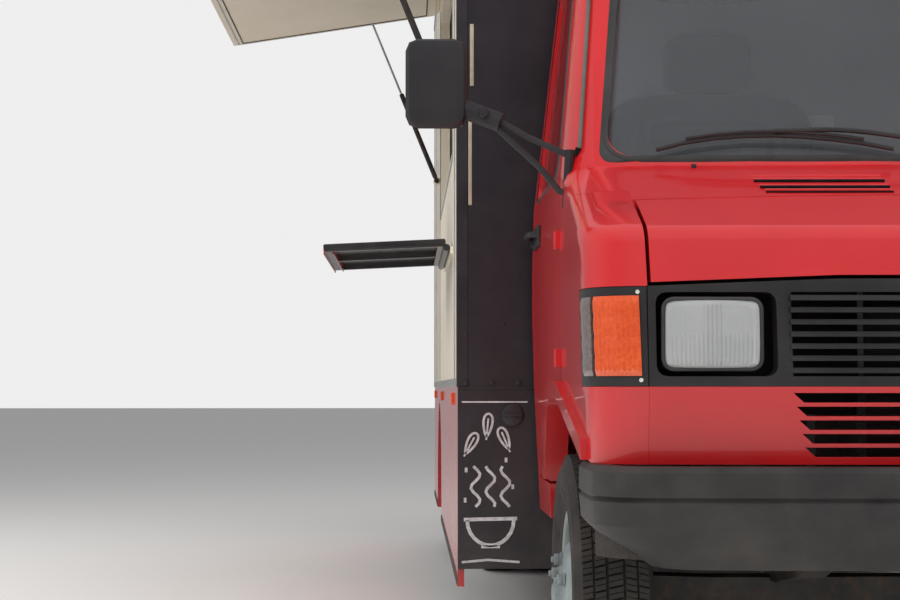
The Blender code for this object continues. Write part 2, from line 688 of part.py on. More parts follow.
LOWER_FRONT = cut(box("lower_front", (-FAR, -0.2, 0.3), (FAR, DOOR_FRONT_Y + 0.02, SHOULDER_Z + SEAT)),
                  box("cowl", (-PANEL_HALF + SEAT, BONNET_REAR_Y + SHUT, 1.2), (PANEL_HALF - SEAT, 0.7, 1.4)))
BONNET_HOLE = box("bonnet_hole", (-PANEL_HALF, -0.2, 0.9),
                  (PANEL_HALF, BONNET_REAR_Y + SHUT, 1.42))
TUNNEL_HALF = 0.62
RAIL_TUNNEL = box("rail_tunnel", (-TUNNEL_HALF, 1.0, 0.3), (TUNNEL_HALF, 1.75, FLOOR_LOW - 0.005))
cab_body = cut(copy_of(SHELL, "cab_body"), LOWER_FRONT, BONNET_HOLE, DOOR_HOLE, SCREEN_HOLE,
               RAIL_TUNNEL, ARCH)
fit(cab_body, "cab_body", RED, "truck_frame", 30)

BONNET_REGION_HIGH = 1.42


def below_bonnet(half, low, high, level):
    """Front outline whose edge at the given height rises a little towards the middle."""
    raised = level + PANEL_RISE
    edge = [(-half, level), (-PANEL_LEVEL_HALF, raised), (PANEL_LEVEL_HALF, raised), (half, level)]
    if high > level + PANEL_RISE:
        return edge + [(half, high), (-half, high)]
    return edge + [(half, low), (-half, low)]


bonnet = shell_piece("bonnet", prism(
    "bonnet_region", below_bonnet(PANEL_HALF - SHUT, 0, BONNET_REGION_HIGH, PANEL_HIGH + SHUT),
    "Y", -0.2, BONNET_REAR_Y))
for sign in (-1, 1):
    bonnet = join(bonnet, rod("bonnet_hinge", (sign * 0.22, *BONNET_HINGE[1:]),
                              (sign * 0.10, *BONNET_HINGE[1:]), BONNET_KNUCKLE, 12))
fit(bonnet, "bonnet", RED, "bonnet", 30)

glass_skin = cut(cab_volume("glass_outer", 0.010), cab_volume("glass_inner", 0.017))
fit(keep(copy_of(glass_skin, "windscreen"), SCREEN_SHAPE), "windscreen", GLASS, "truck_frame", 30)

INDICATOR_REAR_Y = 0.31
lip = cut(prism("lip", arch_outline(ARCH_LIP), "X", -FAR, FAR), ARCH,
          box("lip_base", (-FAR, -0.2, 0.1), (FAR, 2.0, 0.56)))
lip_skin = cut(cab_volume("lip_outer", -ARCH_PROUD), cab_volume("lip_inner", 0.02))
lip = keep(lip, lip_skin)

right_fender = cut(
    shell_piece("fender", box("fender_region", (-FAR, -0.2, VALANCE_LOW),
                              (-PANEL_HALF, DOOR_FRONT_Y - SHUT / 2, SHOULDER_Z))),
    box("indicator_hole", (-FAR, -0.2, VALANCE_HIGH),
        (-PANEL_HALF + 0.046, INDICATOR_REAR_Y, PANEL_HIGH)))
front_lip = keep(copy_of(lip, "front_lip"), box("front_lip_region", (-FAR, LIP_FRONT_Y, VALANCE_LOW),
                                                (0, DOOR_FRONT_Y - SHUT / 2, 1.0)))
right_fender = cut(join(right_fender, front_lip), ARCH)
DOOR_HINGE_Y = DOOR_FRONT_Y + SHUT / 2
for hinge_z in DOOR_HINGE_ROWS:
    right_fender = join(right_fender, box("door_leaf",
        (-DOOR_HINGE_X - 0.005, DOOR_HINGE_Y - DOOR_KNUCKLE - 0.02, hinge_z - DOOR_HINGE_HALF),
        (-DOOR_HINGE_X + 0.02, DOOR_HINGE_Y - DOOR_KNUCKLE - SEAT, hinge_z + DOOR_HINGE_HALF)))
right_indicator = shell_piece("indicator", box("indicator_region",
    (-FAR, -0.2, VALANCE_HIGH + SEAT), (-PANEL_HALF - SEAT, INDICATOR_REAR_Y - SEAT,
                                        PANEL_HIGH - SEAT)))
door_region = box("door_region", (-FAR, 0.3, 0.3), (-0.5, 1.64, 2.2))
right_door = shell_piece("door", door_region, DOOR_SHAPE)
rear_lip = keep(copy_of(lip, "rear_lip"), box("rear_lip_region",
                (-FAR, DOOR_FRONT_Y + SHUT / 2, DOOR_LOW + 0.01), (0, 1.5, 1.0)))
right_door = cut(join(right_door, rear_lip), ARCH, SIDE_WINDOW)
for hinge_z in DOOR_HINGE_ROWS:
    knuckle = rod("door_knuckle", (-DOOR_HINGE_X, DOOR_HINGE_Y, hinge_z - DOOR_HINGE_HALF),
                  (-DOOR_HINGE_X, DOOR_HINGE_Y, hinge_z + DOOR_HINGE_HALF), DOOR_KNUCKLE, 12)
    right_door = join(right_door, knuckle)
right_door_glass = keep(keep(copy_of(glass_skin, "glass"), door_region), SIDE_GLASS)

HANDED = (("fender", right_fender, RED, "truck_frame"),
          ("indicator", right_indicator, AMBER, "truck_frame"),
          ("door", right_door, RED, "door"),
          ("door_glass", right_door_glass, GLASS, "door"))
for piece_name, right_piece, material, body in HANDED:
    left_piece = mirrored(right_piece, "left")
    for side, piece in (("right", right_piece), ("left", left_piece)):
        home = f"door_{side}" if body == "door" else body
        fit(piece, f"{piece_name}_{side}", material, home, 30)


# Black front panel with slats and lamp recesses, and the valance with its slots

GRILLE_HALF = PANEL_HALF - 0.294
GRILLE_LOW = 0.881
GRILLE_HIGH = 1.055
LAMP_X = PANEL_HALF - 0.140
LAMP_Z = (GRILLE_LOW + GRILLE_HIGH) / 2
LAMP_HALF_X = 0.124
LAMP_HALF_Z = (GRILLE_HIGH - GRILLE_LOW) / 2
LENS_X = PANEL_HALF - 0.132
LENS_HALF_X = 0.1025
LENS_HALF_Z = 0.073
SLATS = 7
SLAT_THICK = 0.011


def lamp_outline(sign, grow):
    x_low = sign * LAMP_X - LAMP_HALF_X - grow
    x_high = sign * LAMP_X + LAMP_HALF_X + grow
    low = LAMP_Z - LAMP_HALF_Z - grow
    high = LAMP_Z + LAMP_HALF_Z + grow
    return rounded(((x_low, low), (x_high, low), (x_high, high), (x_low, high)), 0.022, 3)


panel = shell_piece("panel", prism(
    "panel_region", below_bonnet(PANEL_HALF - SEAT, VALANCE_HIGH + SEAT, 0, PANEL_HIGH), "Y", -0.2, 0.33))
panel = cut(panel, box("grille_hole", (-GRILLE_HALF, -0.2, GRILLE_LOW), (GRILLE_HALF, 0.3, GRILLE_HIGH)))
for side, sign in SIDES:
    panel = cut(panel, prism("lamp_hole", lamp_outline(sign, 0.0), "Y", -0.2, 0.3))
pitch = (GRILLE_HIGH - GRILLE_LOW) / SLATS
for index in range(SLATS):
    slat_z = GRILLE_LOW + pitch * (index + 0.5)
    slat = prism("slat", ((0.112, slat_z - SLAT_THICK / 2), (0.140, slat_z - SLAT_THICK / 2),
                          (0.140, slat_z + SLAT_THICK / 2), (0.118, slat_z + SLAT_THICK / 2)),
                 "X", -GRILLE_HALF - 0.004, GRILLE_HALF + 0.004)
    panel = join(panel, slat)
for post_x in (-0.407, 0.0, 0.407):
    panel = join(panel, box("post", (post_x - 0.006, 0.135, GRILLE_LOW - 0.004),
                            (post_x + 0.006, 0.150, GRILLE_HIGH + 0.004)))
fit(panel, "grille_panel", PANEL_BLACK, "truck_frame", 30)

for side, sign in SIDES:
    lamp = prism("lamp", lamp_outline(sign, -SEAT), "Y", 0.138, 0.19)
    lens = box("lens", (sign * LENS_X - LENS_HALF_X, 0.122, LAMP_Z - LENS_HALF_Z),
               (sign * LENS_X + LENS_HALF_X, 0.16, LAMP_Z + LENS_HALF_Z), 0.012)
    fit(join(lamp, lens), f"headlamp_{side}", LAMP, "truck_frame", 30)

valance = shell_piece("valance", box("valance_region", (-PANEL_HALF + SEAT, -0.2, VALANCE_LOW),
                                     (PANEL_HALF - SEAT, 0.33, VALANCE_HIGH)))
# Columns: height of each slot's upper edge, and how much shorter than the grille it is at each end
SLOT_ROWS = ((0.847, 0.0), (0.819, 0.007), (0.791, 0.013), (0.763, 0.020), (0.735, 0.026))
SLOT_HIGH = 0.0195
SLOT_SLANT = 0.022
for slot_z, slot_short in SLOT_ROWS:
    slot_half = GRILLE_HALF - slot_short
    low_half = slot_half - SLOT_SLANT
    slot = prism("slot", ((-low_half, slot_z - SLOT_HIGH), (low_half, slot_z - SLOT_HIGH),
                          (slot_half, slot_z), (-slot_half, slot_z)), "Y", -0.2, 0.3)
    valance = cut(valance, slot)
fit(valance, "front_valance", RED, "truck_frame", 30)


# Bumper: a moulded U that wraps round both corners

# Columns: height, front Y, half width, corner radius
BUMPER_SECTIONS = (
    (0.485, 0.100, BUMPER_HALF - 0.138, 0.10),
    (0.525, 0.060, BUMPER_HALF - 0.083, 0.10),
    (0.560, 0.030, BUMPER_HALF - 0.023, 0.11),
    (0.580, 0.008, BUMPER_HALF - 0.004, 0.12),
    (0.628, 0.0, BUMPER_HALF, 0.12),
    (0.634, 0.006, BUMPER_HALF - 0.006, 0.12),
    (0.640, 0.0, BUMPER_HALF, 0.12),
    (0.688, 0.0, BUMPER_HALF, 0.12),
    (BUMPER_TOP, 0.012, BUMPER_HALF - 0.010, 0.12),
)
BUMPER_BULGE = 0.035
outer = loft("bumper", [plan_ring(height, front_y, half, radius, BUMPER_BULGE)
                        for height, front_y, half, radius in BUMPER_SECTIONS])
INNER_SECTIONS = ((0.46, 0.125, BUMPER_HALF - 0.172, 0.10), *BUMPER_SECTIONS[:3],
                  (0.62, 0.0, BUMPER_HALF, 0.12),
                  (0.80, 0.0, BUMPER_HALF, 0.12))
inner = loft("bumper_inside", [plan_ring(height, front_y, half, radius, BUMPER_BULGE, BUMPER_WALL)
                               for height, front_y, half, radius in INNER_SECTIONS])
ends = box("bumper_ends", (-FAR, BUMPER_REAR_Y, 0.3), (FAR, 2.0, 0.9))
bumper = cut(outer, ends, inner)
for side, sign in SIDES:
    bumper = join(bumper, box("bracket", (sign * RAIL_X - 0.03, BUMPER_WALL + 0.015, 0.57),
                              (sign * RAIL_X + 0.03, RAIL_START_Y - SEAT, 0.62)))
fit(bumper, "front_bumper", PANEL_BLACK, "truck_frame", 30)


# Inside the cab: floor with toe board, engine hump and step wells, then dash, wheel and seats

BACK_INNER_Y = CAB_BACK_Y - WALL - SEAT
FLOOR_HIGH = FLOOR_LOW + FLOOR_THICK
cab_floor = prism("cab_floor", (
    (0.33, FLOOR_LOW), (BACK_INNER_Y, FLOOR_LOW), (BACK_INNER_Y, FLOOR_HIGH), (0.35, FLOOR_HIGH),
    (0.545, 1.27), (0.515, 1.28)), "X", -FLOOR_HALF, FLOOR_HALF)
HUMP_HALF = 0.32
HUMP_HIGH = 1.06
hump = box("hump", (-HUMP_HALF, 0.36, FLOOR_LOW + 0.002), (HUMP_HALF, 1.47, HUMP_HIGH), 0.02)
hump_inside = box("hump_inside", (-HUMP_HALF + 0.03, 0.30, FLOOR_LOW - 0.1),
                  (HUMP_HALF - 0.03, 1.44, HUMP_HIGH - 0.03))
cab_floor = cut(join(cab_floor, hump), hump_inside)
WELL_FRONT_Y = ARCH_REAR_Y + 0.005
for side, sign in SIDES:
    edges = sorted((sign * (TUNNEL_HALF + 0.01), sign * (FLOOR_HALF - 0.01)))
    well = join(box("well_front", (edges[0], WELL_FRONT_Y, SILL_Z), (edges[1], WELL_FRONT_Y + 0.02,
                                                                    FLOOR_LOW + 0.01)),
                box("well_step", (edges[0], WELL_FRONT_Y + 0.01, SILL_Z),
                    (edges[1], BACK_INNER_Y, SILL_Z + 0.025)))
    cab_floor = join(cab_floor, well)
fit(cab_floor, "cab_floor", DASH, "truck_frame", 30)

dash = prism("dash", rounded(((0.62, 1.10), (0.88, 1.10), (0.93, 1.18), (0.90, 1.29), (0.64, 1.325)),
                             0.02, 2), "X", -FLOOR_HALF, FLOOR_HALF)
dash_seat = copy_of(dash, "dash_seat")
dash_seat.data.transform(Matrix.Translation((0, 1.5 * SEAT, 0)))
dash_base = box("dash_base", (-HUMP_HALF + 0.04, 0.66, HUMP_HIGH + SEAT), (HUMP_HALF - 0.04, 0.86, 1.11))
fit(join(dash, dash_base), "dashboard", DASH, "truck_frame", 30)

STEERING_X = 0.48
RIM_CENTRE = Vector((STEERING_X, 0.99, 1.41))
COLUMN = Vector((0.0, -0.55, -0.60)).normalized()
ring = []
for step in range(12):
    angle = math.tau * step / 12
    ring.append((0.205 + 0.014 * math.cos(angle), 0.014 * math.sin(angle)))
steering = turned("steering", ring, RIM_CENTRE, -COLUMN, 24, closed=True)
hub = rod("hub", RIM_CENTRE - COLUMN * 0.01, RIM_CENTRE + COLUMN * 0.06, 0.045)
steering = join(steering, hub)
cross = COLUMN.cross(Vector((1, 0, 0)))
for spoke in (Vector((1, 0, 0)), Vector((-1, 0, 0)), cross):
    steering = join(steering, rod("spoke", RIM_CENTRE + COLUMN * 0.02,
                                  RIM_CENTRE + spoke * 0.203, 0.011, 10))
column_end = RIM_CENTRE + COLUMN * 0.23
steering = join(steering, rod("column", RIM_CENTRE + COLUMN * 0.04, column_end, 0.03))
fit(cut(steering, dash_seat), "steering_wheel", DASH, "truck_frame", 40)

SEAT_FRONT_Y = 1.12
seat_block = None
SEAT_ROWS = ((-0.46, 0.62), (0.48, 0.46))
for seat_x, seat_width in SEAT_ROWS:
    low_x = seat_x - seat_width / 2
    high_x = seat_x + seat_width / 2
    cushion = box("cushion", (low_x, SEAT_FRONT_Y, 1.09), (high_x, 1.60, 1.20), 0.04, 1)
    back = box("back", (low_x, 1.49, 1.17), (high_x, 1.608, 1.72), 0.04, 1)
    rest = box("headrest", (seat_x - 0.13, 1.50, 1.68), (seat_x + 0.13, 1.60, 1.90), 0.035, 1)
    seat = join(cushion, back, rest)
    seat_block = join(seat_block, seat) if seat_block else seat
seat_base = box("seat_base", (-0.70, 1.16, HUMP_HIGH + SEAT), (0.70, 1.58, 1.12))
for side, sign in SIDES:
    edges = sorted((sign * (HUMP_HALF + 0.01), sign * 0.69))
    seat_base = join(seat_base, box("pedestal", (edges[0], 1.17, FLOOR_HIGH + SEAT),
                                    (edges[1], 1.57, 1.11)))
fit(join(seat_block, seat_base), "seats", SEAT_CLOTH, "truck_frame", 30)


# Mirrors on two arms that start from a bracket on each windscreen pillar

MIRROR_CENTRE = Vector((-CAB_HALF - 0.302, 0.745, 1.598))
MIRROR_SIZE = Vector((0.150, 0.075, 0.218))
POST_Y = 0.70


def beside_cab(*points):
    """Points whose first number is how far outboard of the cab's side they lie."""
    return [(-CAB_HALF - out, y, z) for out, y, z in points]


mirror = box("mirror", MIRROR_CENTRE - MIRROR_SIZE / 2, MIRROR_CENTRE + MIRROR_SIZE / 2, 0.03, 2)
neck = tube("neck", beside_cab((0.28, 0.745, 1.555), (0.205, 0.745, 1.525), (0.145, 0.735, 1.502)), 0.024)
upper_arm = tube("upper_arm", beside_cab((0.17, 0.74, 1.518), (0.078, 0.72, 1.463),
                                         (-0.019, POST_Y, 1.416)), 0.008)
lower_arm = tube("lower_arm", beside_cab((0.16, 0.74, 1.495), (0.054, 0.72, 1.393),
                                         (0.006, 0.705, 1.331), (-0.015, POST_Y, 1.325)), 0.008)
post = tube("post", beside_cab((-0.020, POST_Y, 1.430), (-0.012, POST_Y, 1.290)), 0.012)
right_mirror = cut(join(mirror, neck, upper_arm, lower_arm, post), cab_volume("mirror_seat", -SEAT))
left_mirror = mirrored(right_mirror, "left")
fit(right_mirror, "mirror_right", PANEL_BLACK, "truck_frame", 40)
fit(left_mirror, "mirror_left", PANEL_BLACK, "truck_frame", 40)


# Box body: floor on bearers, four walls and a roof, all sandwich panels

IN_HALF = BOX_HALF - BOX_WALL
IN_FRONT_Y = BOX_FRONT_Y + BOX_WALL
IN_REAR_Y = BOX_REAR_Y - BOX_WALL
ROOF_LOW = BOX_HIGH - BOX_WALL
deck = box("deck", (-IN_HALF + SEAT, IN_FRONT_Y + SEAT, DECK_LOW),
           (IN_HALF - SEAT, IN_REAR_Y - SEAT, DECK_HIGH))
for bearer_y in (BOX_FRONT_Y + 0.14, 2.70, 3.50, REAR_AXLE_Y, BOX_REAR_Y - 0.37):
    deck = join(deck, box("bearer", (-RAIL_OUT - 0.06, bearer_y - 0.035, RAIL_HIGH + SEAT),
                          (RAIL_OUT + 0.06, bearer_y + 0.035, DECK_LOW + 0.01)))
SKIRT_IN = BOX_HALF - SKIRT_THICK
for side, sign in SIDES:
    edges = sorted((sign * (SKIRT_IN - 0.03), sign * (SKIRT_IN - SEAT)))
    for hanger_y in (BOX_FRONT_Y + 0.18, 3.20, BOX_REAR_Y - 0.32):
        deck = join(deck, box("skirt_hanger", (edges[0], hanger_y - 0.03, 0.50),
                              (edges[1], hanger_y + 0.03, DECK_LOW + 0.01)))
        reach = sorted((sign * 0.9, sign * (SKIRT_IN - 0.01)))
        deck = join(deck, box("skirt_arm", (reach[0], hanger_y - 0.02, DECK_LOW - 0.06),
                              (reach[1], hanger_y + 0.02, DECK_LOW + 0.01)))
fit(deck, "box_floor", STEEL, "truck_frame")

front_wall = box("front_wall", (-BOX_HALF, BOX_FRONT_Y, BOX_LOW), (BOX_HALF, IN_FRONT_Y, ROOF_LOW))
fit(front_wall, "box_front_wall", BOX_BLACK, "truck_frame")

SIDE_FRONT_Y = IN_FRONT_Y + SEAT
left_wall = box("left_wall", (IN_HALF, SIDE_FRONT_Y, BOX_LOW), (BOX_HALF, IN_REAR_Y - SEAT, ROOF_LOW))
fit(left_wall, "box_left_wall", CREAM, "truck_frame")

right_wall = box("right_wall", (-BOX_HALF, SIDE_FRONT_Y, BOX_LOW), (-IN_HALF, IN_REAR_Y - SEAT, ROOF_LOW))
right_wall = cut(right_wall, box("hatch_hole", (-BOX_HALF - 0.1, HATCH_START_Y, HATCH_LOW),
                                 (-BOX_HALF + 0.1, HATCH_END_Y, HATCH_HIGH)))
RAIL_FACE = FLAP_HINGE_X - HINGE_RADIUS - SEAT
LEAF_HIGH = 0.024
LEAF_ROWS = ((FLAP_HINGE_Z - 0.004, HATCH_START_Y, HATCH_END_Y),
             (SHELF_HINGE[2] - 0.020, SHELF_START_Y, SHELF_END_Y))
for leaf_low, start_y, end_y in LEAF_ROWS:
    right_wall = join(right_wall, box("hinge_leaf", (-RAIL_FACE, start_y, leaf_low),
                                      (-BOX_HALF + 0.005, end_y, leaf_low + LEAF_HIGH)))
EYE_HALF = 0.012
for strut_y, outward in ((STRUT_LOW_Y, -1), (STRUT_HIGH_Y, 1)):
    near_y = strut_y + outward * (EYE_HALF + SEAT)
    far_y = strut_y + outward * (EYE_HALF + 0.010)
    lug = box("strut_lug", (-FLAP_HINGE_X - 0.014, min(near_y, far_y), STRUT_BASE_Z - 0.015),
              (-BOX_HALF + 0.005, max(near_y, far_y), STRUT_BASE_Z + 0.015))
    right_wall = join(right_wall, lug)
fit(right_wall, "box_right_wall", CREAM, "truck_frame")

rear_wall = box("rear_wall", (-BOX_HALF, IN_REAR_Y, BOX_LOW), (BOX_HALF, BOX_REAR_Y, ROOF_LOW))
rear_wall = cut(rear_wall, box("rear_hole", (-REAR_DOOR_HALF, IN_REAR_Y - 0.1, REAR_DOOR_LOW),
                               (REAR_DOOR_HALF, BOX_REAR_Y + 0.1, REAR_DOOR_HIGH)))
rear_leaf = box("rear_leaf", (REAR_DOOR_HALF + HINGE_RADIUS + SEAT, BOX_REAR_Y - 0.005, REAR_DOOR_LOW + 0.07),
                (REAR_DOOR_HALF + 0.05, BOX_REAR_Y + 0.008, REAR_DOOR_HIGH - 0.07))
rear_wall = join(rear_wall, rear_leaf)
fit(rear_wall, "box_rear_wall", CREAM, "truck_frame")

roof = box("roof", (-BOX_HALF, BOX_FRONT_Y, ROOF_LOW + SEAT), (BOX_HALF, BOX_REAR_Y, BOX_HIGH), 0.012, 2)
fit(roof, "box_roof", CREAM, "truck_frame", 30)

WHEEL_ROOM = TYRE_RADIUS + 0.09
wheel_outline = []
for step in range(17):
    angle = math.pi * step / 16
    wheel_outline.append((REAR_AXLE_Y + WHEEL_ROOM * math.cos(angle), AXLE_Z + WHEEL_ROOM * math.sin(angle)))
wheel_outline += [(REAR_AXLE_Y - WHEEL_ROOM, 0.1), (REAR_AXLE_Y + WHEEL_ROOM, 0.1)]
WHEEL_CUT = prism("wheel_cut", wheel_outline, "X", -FAR, FAR)
for side, sign in SIDES:
    edges = sorted((sign * SKIRT_IN, sign * BOX_HALF))
    skirt = box("skirt", (edges[0], BOX_FRONT_Y + SKIRT_THICK + SEAT, SKIRT_LOW),
                (edges[1], BOX_REAR_Y, BOX_LOW - SEAT))
    fit(cut(skirt, WHEEL_CUT), f"skirt_{side}", RED, "truck_frame")

SKIRT_FRONT_LOW = 0.315
front_skirt = box("front_skirt", (-BOX_HALF, BOX_FRONT_Y, SKIRT_FRONT_LOW),
                  (BOX_HALF, BOX_FRONT_Y + SKIRT_THICK, BOX_LOW - SEAT))
front_skirt = cut(front_skirt, box("front_skirt_gap", (-0.70, 1.6, 0.1), (0.70, 1.9, 0.81)))
fit(front_skirt, "front_skirt", BOX_BLACK, "truck_frame")


# Serving hatch: a flap hinged above it, with a gas strut at each end, and a folding counter

def swung(piece, hinge, angle):
    """Swings a piece up about its hinge line."""
    about = Vector(hinge)
    turn = Matrix.Rotation(angle, 4, "Y")
    piece.data.transform(Matrix.Translation(about) @ turn @ Matrix.Translation(-about))
    return piece


flap_high = FLAP_HINGE_Z - 0.010
flap = box("flap", (-FLAP_HINGE_X - FLAP_THICK / 2, HATCH_START_Y - LAP, flap_high - FLAP_LENGTH),
           (-FLAP_HINGE_X + FLAP_THICK / 2, HATCH_END_Y + LAP, flap_high))
barrel = rod("hinge", (-FLAP_HINGE_X, HATCH_START_Y, FLAP_HINGE_Z),
             (-FLAP_HINGE_X, HATCH_END_Y, FLAP_HINGE_Z), HINGE_RADIUS)
flap = join(flap, barrel)
PIN_RADIUS = 0.006
for strut_y, inward in ((STRUT_LOW_Y, 1), (STRUT_HIGH_Y, -1)):
    pin_z = FLAP_HINGE_Z - STRUT_ARM
    flap = join(flap, rod("pin", (-FLAP_HINGE_X, strut_y + inward * (EYE_HALF + SEAT), pin_z),
                          (-FLAP_HINGE_X, strut_y + inward * 0.03, pin_z), PIN_RADIUS, 12))
fit(swung(flap, FLAP_HINGE, FLAP_TILT), "hatch_flap", CREAM, "hatch_flap")

strut_top = Vector((-FLAP_HINGE_X - STRUT_ARM * math.sin(FLAP_TILT), 0,
                    FLAP_HINGE_Z - STRUT_ARM * math.cos(FLAP_TILT)))
strut_foot = Vector((-FLAP_HINGE_X, 0, STRUT_BASE_Z))
strut_line = strut_top - strut_foot
strut_length = strut_line.length
BORE_RADIUS = STRUT_ROD_RADIUS + SEAT
for strut_name, strut_y in (("front", STRUT_LOW_Y), ("rear", STRUT_HIGH_Y)):
    across = Vector((0, strut_y, 0))
    foot = strut_foot + across
    barrel = turned("strut_barrel", (
        (0.0, 0.008), (0.006, 0.008), (STRUT_RADIUS, 0.02), (STRUT_RADIUS, STRUT_BARREL - 0.004),
        (STRUT_RADIUS - 0.002, STRUT_BARREL), (BORE_RADIUS, STRUT_BARREL), (BORE_RADIUS, 0.018),
        (0.0, 0.016)), foot, strut_line, 16)
    eye_reach = Vector((0, EYE_HALF, 0))
    barrel = join(barrel, rod("foot_eye", foot - eye_reach, foot + eye_reach, STRUT_RADIUS))
    fit(barrel, f"strut_barrel_{strut_name}", STEEL, "strut_barrels", 40)
    direction = strut_line.normalized()
    piston = rod("piston", foot + direction * (STRUT_BARREL - STRUT_INSIDE),
                 foot + direction * (strut_length - 0.004), STRUT_ROD_RADIUS, 16)
    top = strut_top + across
    piston = join(piston, rod("top_eye", top - eye_reach, top + eye_reach, STRUT_RADIUS))
    fit(piston, f"strut_rod_{strut_name}", ZINC, "strut_rods", 40)

# The counter is a thin top on a frame with one bar across its middle
SHELF_BAR = 0.028
SHELF_SHEET = 0.005
shelf_low = SHELF_HINGE[2] + 0.004
shelf_out = -FLAP_HINGE_X - SHELF_DEPTH
shelf_in = -FLAP_HINGE_X - 0.002
shelf = box("shelf", (shelf_out, SHELF_START_Y, shelf_low), (shelf_in, SHELF_END_Y, SHELF_Z), 0.004, 1)
middle_y = SHELF_HINGE[1]
BAY_ROWS = ((SHELF_START_Y + SHELF_BAR, middle_y - SHELF_BAR / 2),
            (middle_y + SHELF_BAR / 2, SHELF_END_Y - SHELF_BAR))
for start_y, end_y in BAY_ROWS:
    shelf = cut(shelf, box("bay", (shelf_out + SHELF_BAR, start_y, shelf_low - 0.1),
                           (shelf_in - SHELF_BAR, end_y, SHELF_Z - SHELF_SHEET)))
shelf = join(shelf, rod("shelf_hinge", (-FLAP_HINGE_X, SHELF_START_Y, SHELF_HINGE[2]),
                        (-FLAP_HINGE_X, SHELF_END_Y, SHELF_HINGE[2]), HINGE_RADIUS))
fit(swung(shelf, SHELF_HINGE, -SHELF_DROOP), "counter_shelf", BOX_BLACK, "counter_shelf")

rear_door = box("rear_door", (-REAR_DOOR_HALF + SHUT / 2, IN_REAR_Y, REAR_DOOR_LOW + SHUT / 2),
                (REAR_DOOR_HALF - SHUT / 2, BOX_REAR_Y, REAR_DOOR_HIGH - SHUT / 2))
hinge_x = REAR_DOOR_HINGE[0]
hinge_y = REAR_DOOR_HINGE[1]
for knuckle_z in (REAR_DOOR_LOW + 0.17, REAR_DOOR_HINGE[2], REAR_DOOR_HIGH - 0.22):
    rear_door = join(rear_door, rod("hinge_knuckle", (hinge_x, hinge_y, knuckle_z - 0.05),
                                    (hinge_x, hinge_y, knuckle_z + 0.05), HINGE_RADIUS))
    rear_door = join(rear_door, box("hinge_strap", (hinge_x - 0.10, BOX_REAR_Y - 0.005, knuckle_z - 0.04),
                                    (hinge_x - SEAT, hinge_y + 0.004, knuckle_z + 0.04)))
rear_door = join(rear_door, box("handle", (-REAR_DOOR_HALF + 0.05, BOX_REAR_Y - 0.005, 1.70),
                                (-REAR_DOOR_HALF + 0.10, BOX_REAR_Y + 0.035, 1.95), 0.008))
fit(rear_door, "rear_door", CREAM, "rear_door")

COUNTER_HIGH = 1.60
COUNTER_LOW = DECK_HIGH + SEAT
COUNTER_START_Y = IN_FRONT_Y + 0.02
COUNTER_SIDE = IN_HALF - SEAT
AISLE = (-0.62, 0.50)
LINK_END_Y = 2.35
BENCH_END_Y = 5.00
kitchen = box("kitchen", (-COUNTER_SIDE, COUNTER_START_Y, COUNTER_LOW),
              (AISLE[0], HATCH_END_Y + 0.1, COUNTER_HIGH))
kitchen = join(kitchen, box("link", (AISLE[0] - 0.01, COUNTER_START_Y, COUNTER_LOW),
                            (AISLE[1] + 0.01, LINK_END_Y, COUNTER_HIGH)))
kitchen = join(kitchen, box("bench", (AISLE[1], COUNTER_START_Y, COUNTER_LOW),
                            (COUNTER_SIDE, BENCH_END_Y, COUNTER_HIGH)))
fit(kitchen, "kitchen_counters", ZINC, "truck_frame")

rear_bumper = box("rear_bumper", (-1.10, BOX_REAR_Y + SEAT, 0.48), (1.10, BOX_REAR_Y + 0.10, 0.62), 0.01, 2)
for side, sign in SIDES:
    edges = sorted((sign * RAIL_IN, sign * RAIL_OUT))
    rear_bumper = join(rear_bumper, box("bumper_arm", (edges[0], RAIL_END_Y + SEAT, 0.52),
                                        (edges[1], BOX_REAR_Y + 0.02, 0.60)))
fit(rear_bumper, "rear_bumper", PANEL_BLACK, "truck_frame")


# The whole truck is moved so that the middle of its footprint stands at the origin

bpy.context.view_layer.update()
corners = [thing.matrix_world @ Vector(corner) for thing in truck.objects if thing.type == "MESH"
           for corner in thing.bound_box]
lowest = [min(corner[axis] for corner in corners) for axis in range(3)]
highest = [max(corner[axis] for corner in corners) for axis in range(3)]
carriers["truck_frame"][0].location = (-(lowest[0] + highest[0]) / 2, -(lowest[1] + highest[1]) / 2,
                                       -lowest[2])
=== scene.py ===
import math

import bmesh
import bpy
from mathutils import Matrix, Vector


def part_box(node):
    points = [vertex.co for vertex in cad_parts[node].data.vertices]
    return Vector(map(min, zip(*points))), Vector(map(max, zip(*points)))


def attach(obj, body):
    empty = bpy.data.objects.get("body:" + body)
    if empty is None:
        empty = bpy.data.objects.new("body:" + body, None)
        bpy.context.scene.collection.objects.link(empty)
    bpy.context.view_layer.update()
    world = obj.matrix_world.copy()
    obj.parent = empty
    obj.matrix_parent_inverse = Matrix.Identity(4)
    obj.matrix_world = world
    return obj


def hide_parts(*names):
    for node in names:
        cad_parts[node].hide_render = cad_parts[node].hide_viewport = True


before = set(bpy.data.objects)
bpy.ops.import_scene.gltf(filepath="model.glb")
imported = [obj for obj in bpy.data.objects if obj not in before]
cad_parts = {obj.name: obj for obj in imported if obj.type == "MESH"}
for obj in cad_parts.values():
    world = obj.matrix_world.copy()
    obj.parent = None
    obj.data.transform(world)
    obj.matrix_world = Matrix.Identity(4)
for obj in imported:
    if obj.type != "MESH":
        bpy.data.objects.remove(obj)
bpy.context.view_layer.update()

bpy.ops.object.select_all(action="DESELECT")

